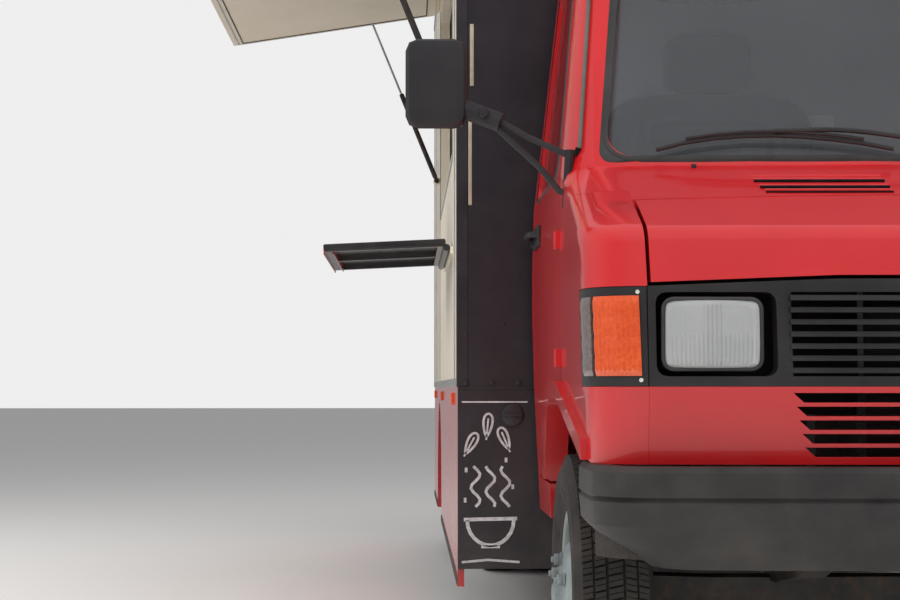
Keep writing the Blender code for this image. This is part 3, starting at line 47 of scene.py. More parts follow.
# The truck's own measuring lines: the middle of its track, and the front face of its bumper.
# Every size in this file is taken from them, along the truck, across it and up from the road.
TRACK_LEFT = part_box("front_tyre_left")
TRACK_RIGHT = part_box("front_tyre_right")
MIDDLE_X = (TRACK_LEFT[1].x + TRACK_RIGHT[0].x) / 2
FRONT_AXLE_Y, REAR_AXLE_Y, AXLE_HIGH = 0.87, 4.57, 0.347006
NOSE_Y = (TRACK_LEFT[0].y + TRACK_LEFT[1].y) / 2 - FRONT_AXLE_Y


def on_truck(x, y, z):
    """A place measured from the truck's middle line, nose and road, in the frame's metres."""
    return Vector((MIDDLE_X + x, NOSE_Y + y, z))


# The camera stands on the road a little over three metres ahead of the bumper, off the right corner,
# and looks along the truck.
sight = bpy.data.cameras.new("sight")
sight.lens = 65.7
sight.sensor_width = 36
camera = bpy.data.objects.new("camera", sight)
camera.location = on_truck(-1.34, -3.23, 0.86)
camera.rotation_euler = (math.radians(93.02), 0, math.radians(-1.465))
bpy.context.scene.collection.objects.link(camera)
bpy.context.scene.camera = camera
bpy.context.scene.view_settings.view_transform = "Standard"

# The floor is one pale sheet, far wider than the truck, that keeps its shadow.
bpy.ops.mesh.primitive_plane_add(size=120, location=(0, 0, -0.001))
floor = bpy.context.object
floor.name = "floor"
pale = bpy.data.materials.new("pale_floor")
pale.use_nodes = True
pale.node_tree.nodes["Principled BSDF"].inputs["Base Color"].default_value = (0.80, 0.79, 0.77, 1)
pale.node_tree.nodes["Principled BSDF"].inputs["Roughness"].default_value = 0.9
floor.data.materials.append(pale)
bpy.ops.object.select_all(action="DESELECT")


# The studio is a plain room, dim near the floor and pale overhead, with four large soft lamps.
def shader_node(tree, kind, inputs=None, **settings):
    """Adds a node, sets it up, and feeds its inputs with plain values or other nodes' outputs."""
    made = tree.nodes.new(kind)
    for name, value in settings.items():
        setattr(made, name, value)
    for socket, value in (inputs or {}).items():
        if isinstance(value, bpy.types.NodeSocket):
            tree.links.new(value, made.inputs[socket])
        else:
            made.inputs[socket].default_value = value
    return made


PALE_GREY = (0.86, 0.86, 0.86, 1)
MIRRORED_SHARE = 0.25
room = bpy.data.worlds.new("room")
bpy.context.scene.world = room
room.use_nodes = True
walls = room.node_tree
looking = shader_node(walls, "ShaderNodeTexCoord")
height = shader_node(walls, "ShaderNodeSeparateXYZ", {"Vector": looking.outputs["Generated"]})
shade = shader_node(walls, "ShaderNodeValToRGB", {"Fac": height.outputs["Z"]})
for place, grey in ((0.0, 0.13), (1.0, 0.48)):
    step = shade.color_ramp.elements[int(place)]
    step.position = 0.05 + 0.85 * place
    step.color = (grey, grey, grey * 1.03, 1)
# Seen straight on or through glass the room is an even pale grey; a reflection holds a share of it.
ray = shader_node(walls, "ShaderNodeLightPath")
seen = shader_node(walls, "ShaderNodeMath", {
    0: ray.outputs["Is Camera Ray"], 1: ray.outputs["Is Transmission Ray"]}, operation="MAXIMUM")
mirrored = shader_node(walls, "ShaderNodeMath", {0: ray.outputs["Is Glossy Ray"], 1: MIRRORED_SHARE},
                       operation="MULTIPLY")
share = shader_node(walls, "ShaderNodeMath", {0: seen.outputs["Value"], 1: mirrored.outputs["Value"]},
                    operation="MAXIMUM")
backdrop = shader_node(walls, "ShaderNodeMix", {
    "Factor": share.outputs["Value"], "A": shade.outputs["Color"], "B": PALE_GREY}, data_type="RGBA")
walls.links.new(backdrop.outputs["Result"], walls.nodes["Background"].inputs["Color"])


def soft_lamp(name, place, towards, width, height, power):
    """A large soft lamp that faces a point on the truck and doesn't show in reflections."""
    lamp = bpy.data.lights.new(name, "AREA")
    lamp.shape = "RECTANGLE"
    lamp.size = width
    lamp.size_y = height
    lamp.energy = power
    held = bpy.data.objects.new(name, lamp)
    held.location = place
    held.rotation_euler = (Vector(towards) - Vector(place)).to_track_quat("-Z", "Y").to_euler()
    held.visible_glossy = False
    bpy.context.scene.collection.objects.link(held)


soft_lamp("overhead_lamp", on_truck(0.0, -1.0, 7.5), on_truck(0, 2.0, 1.0), 7, 9, 370)
soft_lamp("front_lamp", on_truck(-4.5, -5.5, 3.6), on_truck(0, 1.0, 1.2), 4, 3, 190)
soft_lamp("side_lamp", on_truck(6.5, 0.5, 3.6), on_truck(0, 2.0, 1.2), 6, 3, 130)
soft_lamp("hatch_side_lamp", on_truck(-7.0, 2.5, 3.4), on_truck(-1.2, 2.8, 0.9), 6, 3, 190)


# The frame rails, axles, springs, engine, tank and exhaust are steel under dull black paint, with
# brown rust coming through and road dirt over it.
def new_finish(name, **sockets):
    """A material with its Principled shader, and the sockets that are the same all over it."""
    made = bpy.data.materials.new(name)
    made.use_nodes = True
    shader = made.node_tree.nodes["Principled BSDF"]
    for socket, value in sockets.items():
        shader.inputs[socket.replace("_", " ")].default_value = value
    return made, made.node_tree, shader


def effect(name, inputs, outputs):
    """An empty node group with named inputs, (name, kind, value), and named outputs, (name, kind)."""
    group = bpy.data.node_groups.new(name, "ShaderNodeTree")
    for label, kind, value in inputs:
        socket = group.interface.new_socket(label, in_out="INPUT", socket_type=kind)
        socket.default_value = value
    for label, kind in outputs:
        group.interface.new_socket(label, in_out="OUTPUT", socket_type=kind)
    return group, group.nodes.new("NodeGroupInput"), group.nodes.new("NodeGroupOutput")


def placed(tree, group, inputs=None):
    """One use of an effect in a material."""
    return shader_node(tree, "ShaderNodeGroup", inputs, node_tree=group)


def coloured(tree, shader, colour, roughness=None):
    """Feeds a material's colour, and its roughness where that changes over the surface."""
    tree.links.new(colour, shader.inputs["Base Color"])
    if roughness is not None:
        tree.links.new(roughness, shader.inputs["Roughness"])


def bumped(tree, shader, height, strength, distance):
    """Raises a material's surface by a pattern."""
    bump = shader_node(tree, "ShaderNodeBump", {"Height": height, "Strength": strength, "Distance": distance})
    tree.links.new(bump.outputs["Normal"], shader.inputs["Normal"])


COLOUR = "NodeSocketColor"
NUMBER = "NodeSocketFloat"

# road_dirt: pale dust that lies thicker low on the truck and breaks up in patches and runs.
road_dirt, given, sent = effect(
    "road_dirt",
    [("Colour", COLOUR, (0.5, 0.5, 0.5, 1)), ("Dust", COLOUR, (0.20, 0.17, 0.13, 1)),
     ("Amount", NUMBER, 0.5), ("Top", NUMBER, 0.9), ("Roughness", NUMBER, 0.4)],
    [("Colour", COLOUR), ("Roughness", NUMBER), ("Mask", NUMBER)])
where = shader_node(road_dirt, "ShaderNodeTexCoord")
up = shader_node(road_dirt, "ShaderNodeSeparateXYZ", {"Vector": where.outputs["Object"]})
low_down = shader_node(road_dirt, "ShaderNodeMapRange", {
    "Value": up.outputs["Z"], "From Min": 0.0, "From Max": given.outputs["Top"], "To Min": 1.0,
    "To Max": 0.0})
patches = shader_node(road_dirt, "ShaderNodeTexNoise", {
    "Vector": where.outputs["Object"], "Scale": 6.0, "Detail": 8.0, "Roughness": 0.65})
broken = shader_node(road_dirt, "ShaderNodeMapRange", {
    "Value": patches.outputs["Fac"], "From Min": 0.35, "From Max": 0.7, "To Min": 0.15, "To Max": 1.0})
thick = shader_node(road_dirt, "ShaderNodeMath", {0: low_down.outputs["Result"], 1: broken.outputs["Result"]},
                    operation="MULTIPLY")
laid = shader_node(road_dirt, "ShaderNodeMath", {0: thick.outputs["Value"], 1: given.outputs["Amount"]},
                   operation="MULTIPLY", use_clamp=True)
dusty = shader_node(road_dirt, "ShaderNodeMix", {
    "Factor": laid.outputs["Value"], "A": given.outputs["Colour"], "B": given.outputs["Dust"]},
                    data_type="RGBA")
duller = shader_node(road_dirt, "ShaderNodeMix", {
    "Factor": laid.outputs["Value"], "A": given.outputs["Roughness"], "B": 0.9}, data_type="FLOAT")
road_dirt.links.new(dusty.outputs["Result"], sent.inputs["Colour"])
road_dirt.links.new(duller.outputs["Result"], sent.inputs["Roughness"])
road_dirt.links.new(laid.outputs["Value"], sent.inputs["Mask"])

# speckle: a fine two-tone grain whose height also drives a bump, for cast, grained or weathered skins.
speckle, given, sent = effect(
    "speckle",
    [("Dark", COLOUR, (0.02, 0.02, 0.02, 1)), ("Light", COLOUR, (0.04, 0.04, 0.04, 1)),
     ("Patch Size", NUMBER, 5.0), ("Grain Size", NUMBER, 600.0)],
    [("Colour", COLOUR), ("Patches", NUMBER), ("Grain", NUMBER)])
where = shader_node(speckle, "ShaderNodeTexCoord")
clouds = shader_node(speckle, "ShaderNodeTexNoise", {
    "Vector": where.outputs["Object"], "Scale": given.outputs["Patch Size"], "Detail": 9.0,
    "Roughness": 0.62})
cells = shader_node(speckle, "ShaderNodeTexVoronoi", {
    "Vector": where.outputs["Object"], "Scale": given.outputs["Grain Size"]})
spread = shader_node(speckle, "ShaderNodeMapRange", {
    "Value": clouds.outputs["Fac"], "From Min": 0.32, "From Max": 0.68, "To Min": 0.0, "To Max": 1.0})
tones = shader_node(speckle, "ShaderNodeMix", {
    "Factor": spread.outputs["Result"], "A": given.outputs["Dark"], "B": given.outputs["Light"]},
                    data_type="RGBA")
speckle.links.new(tones.outputs["Result"], sent.inputs["Colour"])
speckle.links.new(spread.outputs["Result"], sent.inputs["Patches"])
speckle.links.new(cells.outputs["Distance"], sent.inputs["Grain"])


def two_tone(tree, dark, light, patch, grain):
    """Two close tones in patches, with a grain."""
    return placed(tree, speckle, {
        "Dark": (*dark, 1), "Light": (*light, 1), "Patch Size": patch, "Grain Size": grain})


def worn_finish(name, dark, light, patch, grain, depth, roughness, dirt, top=0.9, dust=None,
                relief=("Grain", 0.35), **sockets):
    """A finish of two close tones, a relief of a depth in metres, and road dirt up to a height."""
    made, tree, shader = new_finish(name, **sockets)
    skin = two_tone(tree, dark, light, patch, grain)
    values = {"Colour": skin.outputs["Colour"], "Amount": dirt, "Top": top, "Roughness": roughness}
    if dust:
        values["Dust"] = (*dust, 1)
    laid = placed(tree, road_dirt, values)
    coloured(tree, shader, laid.outputs["Colour"], laid.outputs["Roughness"])
    pattern, strength = relief
    bumped(tree, shader, skin.outputs[pattern], strength, depth)
    return made


def plain_finish(name, dark, light, patch, grain, **sockets):
    """A finish of two close tones with one roughness, clean and without relief."""
    made, tree, shader = new_finish(name, **sockets)
    coloured(tree, shader, two_tone(tree, dark, light, patch, grain).outputs["Colour"])
    return made


def chassis_paint():
    """Dull black paint with rust through it."""
    made, tree, shader = new_finish("chassis_steel")
    where = shader_node(tree, "ShaderNodeTexCoord")
    spots = shader_node(tree, "ShaderNodeTexNoise", {
        "Vector": where.outputs["Object"], "Scale": 22.0, "Detail": 10.0, "Roughness": 0.7})
    rust = shader_node(tree, "ShaderNodeValToRGB", {"Fac": spots.outputs["Fac"]})
    rust.color_ramp.elements[0].position = 0.50
    rust.color_ramp.elements[0].color = (0.016, 0.016, 0.018, 1)
    rust.color_ramp.elements[1].position = 0.66
    rust.color_ramp.elements[1].color = (0.085, 0.034, 0.016, 1)
    dirt = placed(tree, road_dirt,
                  {"Colour": rust.outputs["Color"], "Amount": 0.6, "Top": 0.9, "Roughness": 0.55})
    coloured(tree, shader, dirt.outputs["Colour"], dirt.outputs["Roughness"])
    bumped(tree, shader, spots.outputs["Fac"], 0.3, 0.002)
    return made


def dress(material, *nodes):
    """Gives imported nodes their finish."""
    for name in nodes:
        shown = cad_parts[name]
        shown.data.materials.clear()
        shown.data.materials.append(material)


CHASSIS_STEEL = chassis_paint()
dress(CHASSIS_STEEL, "chassis_frame", "engine_block", "box_floor")


def only(piece):
    """Selects one piece and nothing else."""
    bpy.ops.object.select_all(action="DESELECT")
    piece.select_set(True)
    bpy.context.view_layer.objects.active = piece
    return piece


def apply_modifier(piece, kind, **settings):
    """Adds a modifier, sets it up and applies it."""
    only(piece)
    added = piece.modifiers.new(kind.lower(), kind)
    for name, value in settings.items():
        setattr(added, name, value)
    bpy.ops.object.modifier_apply(modifier=added.name)
    return piece


def edited(piece, *steps):
    """Runs edit-mode operators, each as (operator, settings), on the whole piece."""
    only(piece)
    bpy.ops.object.mode_set(mode="EDIT")
    bpy.ops.mesh.select_all(action="SELECT")
    for operator, settings in steps:
        operator(**settings)
    bpy.ops.object.mode_set(mode="OBJECT")
    return piece


def fit(piece, body, finish, slot, *stands_for, smooth=35):
    """Fixes a finished piece to a moving or fixed body, in its finish."""
    if finish is not None:
        piece.data.materials.clear()
        piece.data.materials.append(finish)
    only(piece)
    bpy.ops.object.shade_smooth_by_angle(angle=math.radians(smooth))
    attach(piece, body)
    if stands_for:
        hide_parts(*stands_for)
    return piece


WELD = 0.00005


def welded(node, ending):
    """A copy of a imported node's form, its triangles joined into flat faces."""
    piece = bpy.data.objects.new(node + ending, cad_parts[node].data.copy())
    bpy.context.scene.collection.objects.link(piece)
    return edited(piece, (bpy.ops.mesh.remove_doubles, {"threshold": WELD}),
                  (bpy.ops.mesh.dissolve_limited, {"angle_limit": math.radians(0.6)}))


def rolled(piece, width, steps, limit):
    """Rounds every edge that bends more than a limit in degrees."""
    return apply_modifier(piece, "BEVEL", width=width, segments=steps, limit_method="ANGLE",
                          angle_limit=math.radians(limit), use_clamp_overlap=True)


def skin_of(node, body, finish, slot, edge=0.003, steps=2):
    """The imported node's own form as a welded skin with rounded edges, shown in its place."""
    piece = welded(node, "_skin")
    if edge:
        rolled(piece, edge, steps, 30)
    fit(piece, body, finish, slot, node, smooth=40)
    return apply_modifier(piece, "WEIGHTED_NORMAL", keep_sharp=True)


for node, body in (("front_axle", "chassis"), ("rear_axle", "chassis"), ("fuel_tank", "chassis"),
                   ("exhaust", "chassis"), ("knuckle_right", "knuckle_right"),
                   ("knuckle_left", "knuckle_left"), ("strut_barrel_front", "strut_barrels"),
                   ("strut_barrel_rear", "strut_barrels")):
    skin_of(node, body, CHASSIS_STEEL, "chassis_steel", edge=0.0015, steps=1)


# The wheels are pressed steel discs on rolled rims in silver paint, dusty and stained by the brakes.
# Each disc has hand holes round it and is held by hexagon nuts on studs round its hub.
def outward(piece, *steps, weld=WELD):
    """Runs edit-mode operators, then welds the piece's skin and turns its faces outwards."""
    return edited(piece, *steps, (bpy.ops.mesh.remove_doubles, {"threshold": weld}),
                  (bpy.ops.mesh.normals_make_consistent, {"inside": False}))


def spun(name, profile, steps):
    """A closed profile of (radius, distance outward) spun about the X axis at the origin."""
    rows = [(out, 0.0, radius) for radius, out in profile]
    lines = [(index, (index + 1) % len(rows)) for index in range(len(rows))]
    mesh = bpy.data.meshes.new(name)
    mesh.from_pydata(rows, lines, [])
    piece = bpy.data.objects.new(name, mesh)
    bpy.context.scene.collection.objects.link(piece)
    return outward(piece, (bpy.ops.mesh.spin, {
        "steps": steps, "angle": math.tau, "center": (0, 0, 0), "axis": (1, 0, 0)}))


def bar(name, start, end, radius, sides=16, edge=0.0, on=on_truck):
    """A round bar between two places, with rounded rims."""
    start, end = on(*start), on(*end)
    bpy.ops.object.select_all(action="DESELECT")
    bpy.ops.mesh.primitive_cylinder_add(vertices=sides, radius=radius, depth=(end - start).length)
    piece = bpy.context.object
    piece.name = name
    if edge:
        apply_modifier(piece, "BEVEL", width=edge, segments=2, limit_method="ANGLE",
                       angle_limit=math.radians(50))
    piece.data.transform(Matrix.Translation((start + end) / 2)
                         @ (end - start).to_track_quat("Z", "Y").to_matrix().to_4x4())
    return piece


def at_origin(x, y, z):
    """A place measured from the frame's own origin, for parts that are set in place later."""
    return Vector((x, y, z))


def joined(name, *pieces):
    """Several pieces made one."""
    bpy.ops.object.select_all(action="DESELECT")
    for piece in pieces:
        piece.select_set(True)
    bpy.context.view_layer.objects.active = pieces[0]
    if len(pieces) > 1:
        bpy.ops.object.join()
    pieces[0].name = name
    return pieces[0]


def copied(piece, name, place=(0, 0, 0), turn=None):
    """A copy with its own mesh, turned about the origin and then moved to its place."""
    twin = bpy.data.objects.new(name, piece.data.copy())
    bpy.context.scene.collection.objects.link(twin)
    if turn is not None:
        twin.data.transform(turn)
    twin.data.transform(Matrix.Translation(place))
    return twin


def ringed(name, part, count, radius, phase=0.0):
    """Copies of a part set in a ring about the X axis."""
    copies = []
    for index in range(count):
        turn = Matrix.Rotation(phase + math.tau * index / count, 4, "X")
        copies.append(copied(part, name, turn=turn @ Matrix.Translation((0, 0, radius))))
    bpy.data.objects.remove(part)
    return joined(name, *copies)


def wheel_nut(out):
    """A hexagon nut with its washer and the stud's end, on the disc's face."""
    washer = bar("washer", (out - 0.002, 0, 0), (out + 0.003, 0, 0), 0.0165, 20, 0.001, at_origin)
    nut = bar("nut", (out + 0.003, 0, 0), (out + 0.017, 0, 0), 0.0145, 6, 0.0015, at_origin)
    stud = bar("stud", (out + 0.010, 0, 0), (out + 0.025, 0, 0), 0.0072, 12, 0.001, at_origin)
    return joined("wheel_nut", washer, nut, stud)


def with_holes(disc, count, radius, hole, low, high):
    """Cuts hand holes round a wheel disc."""
    drill = ringed("drill", bar("drill", (low, 0, 0), (high, 0, 0), hole, 20, on=at_origin), count, radius,
                   0.26)
    apply_modifier(disc, "BOOLEAN", operation="DIFFERENCE", solver="EXACT", object=drill)
    bpy.data.objects.remove(drill)
    return apply_modifier(disc, "BEVEL", width=0.0015, segments=2, limit_method="ANGLE",
                          angle_limit=math.radians(48))


FRONT_RIM = ((0.0, 0.118), (0.020, 0.117), (0.031, 0.112), (0.036, 0.100), (0.043, 0.096), (0.078, 0.094),
             (0.104, 0.090), (0.114, 0.084), (0.140, 0.060), (0.160, 0.042), (0.172, 0.030), (0.184, 0.026),
             (0.190, 0.034), (0.190, 0.060), (0.194, 0.070), (0.203, 0.073), (0.212, 0.0745), (0.2135, 0.073),
             (0.212, 0.0705), (0.2027, 0.070), (0.2027, -0.070), (0.213, -0.0705), (0.213, -0.0773),
             (0.190, -0.0773), (0.190, 0.012), (0.160, 0.020), (0.140, 0.040), (0.104, 0.068), (0.0, 0.070))
REAR_RIM = ((0.0, 0.040), (0.046, 0.040), (0.052, 0.030), (0.056, 0.014), (0.130, 0.012), (0.150, 0.018),
            (0.172, 0.040), (0.186, 0.052), (0.190, 0.066), (0.190, 0.176), (0.194, 0.184), (0.203, 0.1856),
            (0.212, 0.187), (0.2135, 0.1855), (0.212, 0.183), (0.2027, 0.1825), (0.2027, -0.1825),
            (0.213, -0.183), (0.213, -0.1895), (0.190, -0.1895), (0.190, 0.030), (0.150, 0.0),
            (0.130, -0.012), (0.0, -0.012))
SILVER_PAINT = worn_finish("wheel_steel", (0.20, 0.235, 0.24), (0.37, 0.42, 0.42), 14.0, 350.0, 0.0008, 0.38,
                           0.55, dust=(0.10, 0.075, 0.055), relief=("Grain", 0.2), Metallic=0.35)
ONE_TURN = Matrix.Rotation(math.pi, 4, "Z")

for end, profile, ring, out, hub_x, axle_y in (
        ("front", FRONT_RIM, 0.1485, 0.094, 0.865, FRONT_AXLE_Y),
        ("rear", REAR_RIM, 0.150, 0.012, 0.80, REAR_AXLE_Y)):
    disc = with_holes(spun(end + "_disc", profile, 56), 8, ring, 0.0185, -0.04, 0.09)
    nuts = ringed("nuts", wheel_nut(out), 6, 0.085)
    rim = joined(end + "_rim", disc, nuts)
    for side, sign in (("right", -1), ("left", 1)):
        plural = "s" if end == "rear" else ""
        own = copied(rim, f"{end}_rim_pressed_{side}", on_truck(hub_x * sign, axle_y, AXLE_HIGH),
                     ONE_TURN if sign < 0 else None)
        fit(own, f"{end}_wheel_{side}", SILVER_PAINT, "wheel_steel", f"{end}_rim{plural}_{side}", smooth=30)
    bpy.data.objects.remove(rim)


# The tyres are black rubber: a smooth carcass with moulded rings on its walls, and a tread of five
# ribs that are cut into blocks, each block with a fine slit across it. Dust greys them.
WALL_HALF = ((0.2045, 0.0695), (0.212, 0.0775), (0.218, 0.0800), (0.222, 0.0795), (0.228, 0.0845),
             (0.248, 0.0905), (0.250, 0.0918), (0.256, 0.0918), (0.258, 0.0905), (0.272, 0.0925),
             (0.290, 0.0925), (0.300, 0.0905), (0.302, 0.0915), (0.308, 0.0908), (0.310, 0.0890),
             (0.322, 0.0850), (0.330, 0.0800), (0.336, 0.0745), (0.3375, 0.066))
TREAD_RADIUS = 0.3468
PITCHES = 76
# Columns: middle of the rib across the tread, half its width, and its shift round the tyre
RIBS = ((-0.0645, 0.0118, 0.0), (-0.0355, 0.0125, 0.35), (0.0, 0.0165, 0.0), (0.0355, 0.0125, 0.35),
        (0.0645, 0.0118, 0.0))
carcass = spun("carcass", [(radius, -out) for radius, out in WALL_HALF]
               + [(radius, out) for radius, out in reversed(WALL_HALF)], 72)
pitch_length = math.tau * TREAD_RADIUS / PITCHES
lugs = []
for rib_x, rib_half, shift in RIBS:
    for place, length in ((0.26, 0.385), (0.70, 0.385)):
        bpy.ops.object.select_all(action="DESELECT")
        bpy.ops.mesh.primitive_cube_add(size=1, location=(rib_x, (place + shift) * pitch_length,
                                                          TREAD_RADIUS - 0.006))
        lug = bpy.context.object
        lug.scale = (rib_half * 2, length * pitch_length, 0.012)
        bpy.ops.object.transform_apply(location=True, rotation=True, scale=True)
        for corner in lug.data.vertices:
            lean = abs(corner.co.x) / 0.0775
            corner.co.y += 0.22 * (corner.co.x - rib_x) * (1 if rib_x >= 0 else -1)
            corner.co.z -= 0.0035 * lean ** 3 + corner.co.y ** 2 / (2 * TREAD_RADIUS)
        lugs.append(lug)
tread = joined("tread", *lugs)
turner = bpy.data.objects.new("turner", None)
bpy.context.scene.collection.objects.link(turner)
turner.rotation_euler = (math.tau / PITCHES, 0, 0)
bpy.context.view_layer.update()
apply_modifier(tread, "ARRAY", count=PITCHES, use_relative_offset=False, use_object_offset=True,
               offset_object=turner)
bpy.data.objects.remove(turner)
tyre = joined("tyre", carcass, tread)
TYRE_RUBBER = worn_finish("tyre", (0.014, 0.013, 0.013), (0.040, 0.036, 0.033), 11.0, 500.0, 0.001, 0.82,
                          0.35, dust=(0.12, 0.10, 0.08), relief=("Patches", 0.25))
for side, sign in (("right", -1), ("left", 1)):
    for name, node, body, out_x, axle_y in (
            ("front", f"front_tyre_{side}", f"front_wheel_{side}", 0.865, FRONT_AXLE_Y),
            ("rear_outer", f"rear_tyre_outer_{side}", f"rear_wheel_{side}", 0.9125, REAR_AXLE_Y),
            ("rear_inner", f"rear_tyre_inner_{side}", f"rear_wheel_{side}", 0.6875, REAR_AXLE_Y)):
        own = copied(tyre, f"{name}_tyre_moulded_{side}", on_truck(out_x * sign, axle_y, AXLE_HIGH),
                     ONE_TURN if sign < 0 else None)
        fit(own, body, TYRE_RUBBER, "tyre", node, smooth=30)
bpy.data.objects.remove(tyre)


# The cab is a shell of pressed and welded steel panels in gloss red: body, two fenders, bonnet, two
# doors and the valance under the grille. Their edges are rolled, and dust lies on them low down.
def coach_red():
    """Gloss red under a clear coat, with a little orange peel."""
    made, tree, shader = new_finish("red_paint", Coat_Weight=0.7, Coat_Roughness=0.05, Coat_IOR=1.45)
    where = shader_node(tree, "ShaderNodeTexCoord")
    skin = two_tone(tree, (0.50, 0.006, 0.010), (0.60, 0.010, 0.014), 2.2, 240.0)
    dirt = placed(tree, road_dirt, {
        "Colour": skin.outputs["Colour"], "Dust": (0.26, 0.12, 0.09, 1), "Amount": 0.32, "Top": 1.0,
        "Roughness": 0.30})
    coloured(tree, shader, dirt.outputs["Colour"], dirt.outputs["Roughness"])
    peel = shader_node(tree, "ShaderNodeTexNoise", {
        "Vector": where.outputs["Object"], "Scale": 300.0, "Detail": 2.0})
    bumped(tree, shader, peel.outputs["Fac"], 0.05, 0.001)
    return made


CREASE_BEND = math.radians(14)


def rolled_crease(piece, heights):
    """Rounds the pressed creases that run round the cab at the given (height, width)."""
    for level, width in heights:
        only(piece)
        bpy.ops.object.mode_set(mode="EDIT")
        bpy.ops.mesh.select_all(action="DESELECT")
        drawn = bmesh.from_edit_mesh(piece.data)
        for edge in drawn.edges:
            flat = all(abs(end.co.z - level) < 0.002 for end in edge.verts)
            edge.select_set(flat and len(edge.link_faces) == 2 and edge.calc_face_angle(0) > CREASE_BEND)
        bmesh.update_edit_mesh(piece.data)
        bpy.ops.mesh.bevel(offset=width, segments=5, affect="EDGES", clamp_overlap=True)
        bpy.ops.object.mode_set(mode="OBJECT")
    return piece


RED_PAINT = coach_red()
PRESSED = (("cab_body", "chassis", ()), ("bonnet", "bonnet", ((1.19, 0.030),)),
           ("fender_right", "chassis", ((1.19, 0.030),)), ("fender_left", "chassis", ((1.19, 0.030),)),
           ("front_valance", "chassis", ()), ("door_right", "door_right", ()), ("door_left", "door_left", ()))
for node, body, creases in PRESSED:
    piece = rolled_crease(welded(node, "_pressed"), creases)
    rolled(piece, 0.0035, 3, 38)
    fit(piece, body, RED_PAINT, "red_paint", node, smooth=42)
    apply_modifier(piece, "WEIGHTED_NORMAL", keep_sharp=True)
dress(RED_PAINT, "skirt_right", "skirt_left")

# The form of the cab's front, from which seals, rails, lenses and louvres are placed on its skin.
# Columns: height, front, half width, corner radius, bulge
CAB_FORM = ((0.50, 0.17, 0.948, 0.13, 0.025), (0.70, 0.12, 0.958, 0.12, 0.025),
            (0.86, 0.10, 0.965, 0.12, 0.025), (1.068, 0.12, 0.970, 0.12, 0.025),
            (1.19, 0.16, 0.970, 0.13, 0.025), (1.38, 0.57, 0.965, 0.16, 0.035),
            (2.02, 0.87, 0.890, 0.14, 0.040), (2.14, 0.93, 0.872, 0.15, 0.040),
            (2.20, 1.00, 0.845, 0.17, 0.040), (2.24, 1.10, 0.800, 0.18, 0.030),
            (2.255, 1.25, 0.720, 0.18, 0.020))


def cab_section(z):
    """Front, half width, corner radius and bulge of the cab at a height."""
    for lower, upper in zip(CAB_FORM, CAB_FORM[1:]):
        if z <= upper[0]:
            break
    share = (z - lower[0]) / (upper[0] - lower[0])
    return [a + (b - a) * share for a, b in zip(lower[1:], upper[1:])]


def cab_front(x, z):
    """How far back the cab's front skin lies at a place seen from the front."""
    front, half, radius, bulge = cab_section(z)
    flat = half - radius
    if abs(x) <= flat:
        return front + bulge * (x / flat) ** 2
    beyond = min(abs(x) - flat, radius)
    return front + bulge + radius - math.sqrt(max(radius ** 2 - beyond ** 2, 0))


def cab_corner(z, turn, proud=0.0):
    """A place on the right front corner, turn degrees round from the front, standing proud of the skin."""
    front, half, radius, bulge = cab_section(z)
    angle = math.radians(turn)
    reach = radius + proud
    return (-(half - radius) - reach * math.sin(angle), front + bulge + radius - reach * math.cos(angle), z)


def smooth_run(points, steps):
    """Points on a smooth line through the given ones."""
    run = []
    ends = [points[0], *points, points[-1]]
    for before, start, end, after in zip(ends, ends[1:], ends[2:], ends[3:]):
        for step in range(steps):
            t = step / steps
            run.append(tuple(
                0.5 * (2 * b + (c - a) * t + (2 * a - 5 * b + 4 * c - d) * t * t
                       + (3 * b - a - 3 * c + d) * t ** 3)
                for a, b, c, d in zip(before, start, end, after)))
    return run + [tuple(points[-1])]


FINE_WELD = 0.00002


def tube(name, points, radius, closed=False, sides=3):
    """A round strip or pipe along a line of places on the truck."""
    line = bpy.data.curves.new(name, "CURVE")
    line.dimensions = "3D"
    line.bevel_depth = radius
    line.bevel_resolution = sides
    line.use_fill_caps = True
    run = line.splines.new("POLY")
    run.points.add(len(points) - 1)
    for point, place in zip(run.points, points):
        point.co = (*on_truck(*place), 1)
    run.use_cyclic_u = closed
    piece = bpy.data.objects.new(name, line)
    bpy.context.scene.collection.objects.link(piece)
    only(piece)
    bpy.ops.object.convert(target="MESH")
    return outward(bpy.context.object, weld=FINE_WELD)


def block(name, low, high, edge=0.0, steps=2):
    """A bar or plate between two opposite corners on the truck, its edges rounded."""
    bpy.ops.object.select_all(action="DESELECT")
    near, far = on_truck(*low), on_truck(*high)
    bpy.ops.mesh.primitive_cube_add(size=1, location=(near + far) / 2)
    piece = bpy.context.object
    piece.name = name
    piece.scale = far - near
    bpy.ops.object.transform_apply(location=True, rotation=True, scale=True)
    if edge:
        edited(piece, (bpy.ops.mesh.bevel, {"offset": edge, "segments": steps, "affect": "EDGES"}))
    return piece


def fit_pair(piece, body, finish, slot, *stands_for, smooth=35):
    """Fixes a right-hand piece and its copy for the left side, mirrored over the truck's middle line."""
    flip = Matrix.Translation((MIDDLE_X, 0, 0)) @ Matrix.Scale(-1, 4, (1, 0, 0))
    flip = flip @ Matrix.Translation((-MIDDLE_X, 0, 0))
    twin = copied(piece, piece.name.replace("right", "left"), turn=flip)
    edited(twin, (bpy.ops.mesh.flip_normals, {}))
    for own, side in ((twin, "left"), (piece, "right")):
        nodes = [node.replace("right", side) for node in stands_for]
        fit(own, body.replace("right", side), finish, slot, *nodes, smooth=smooth)


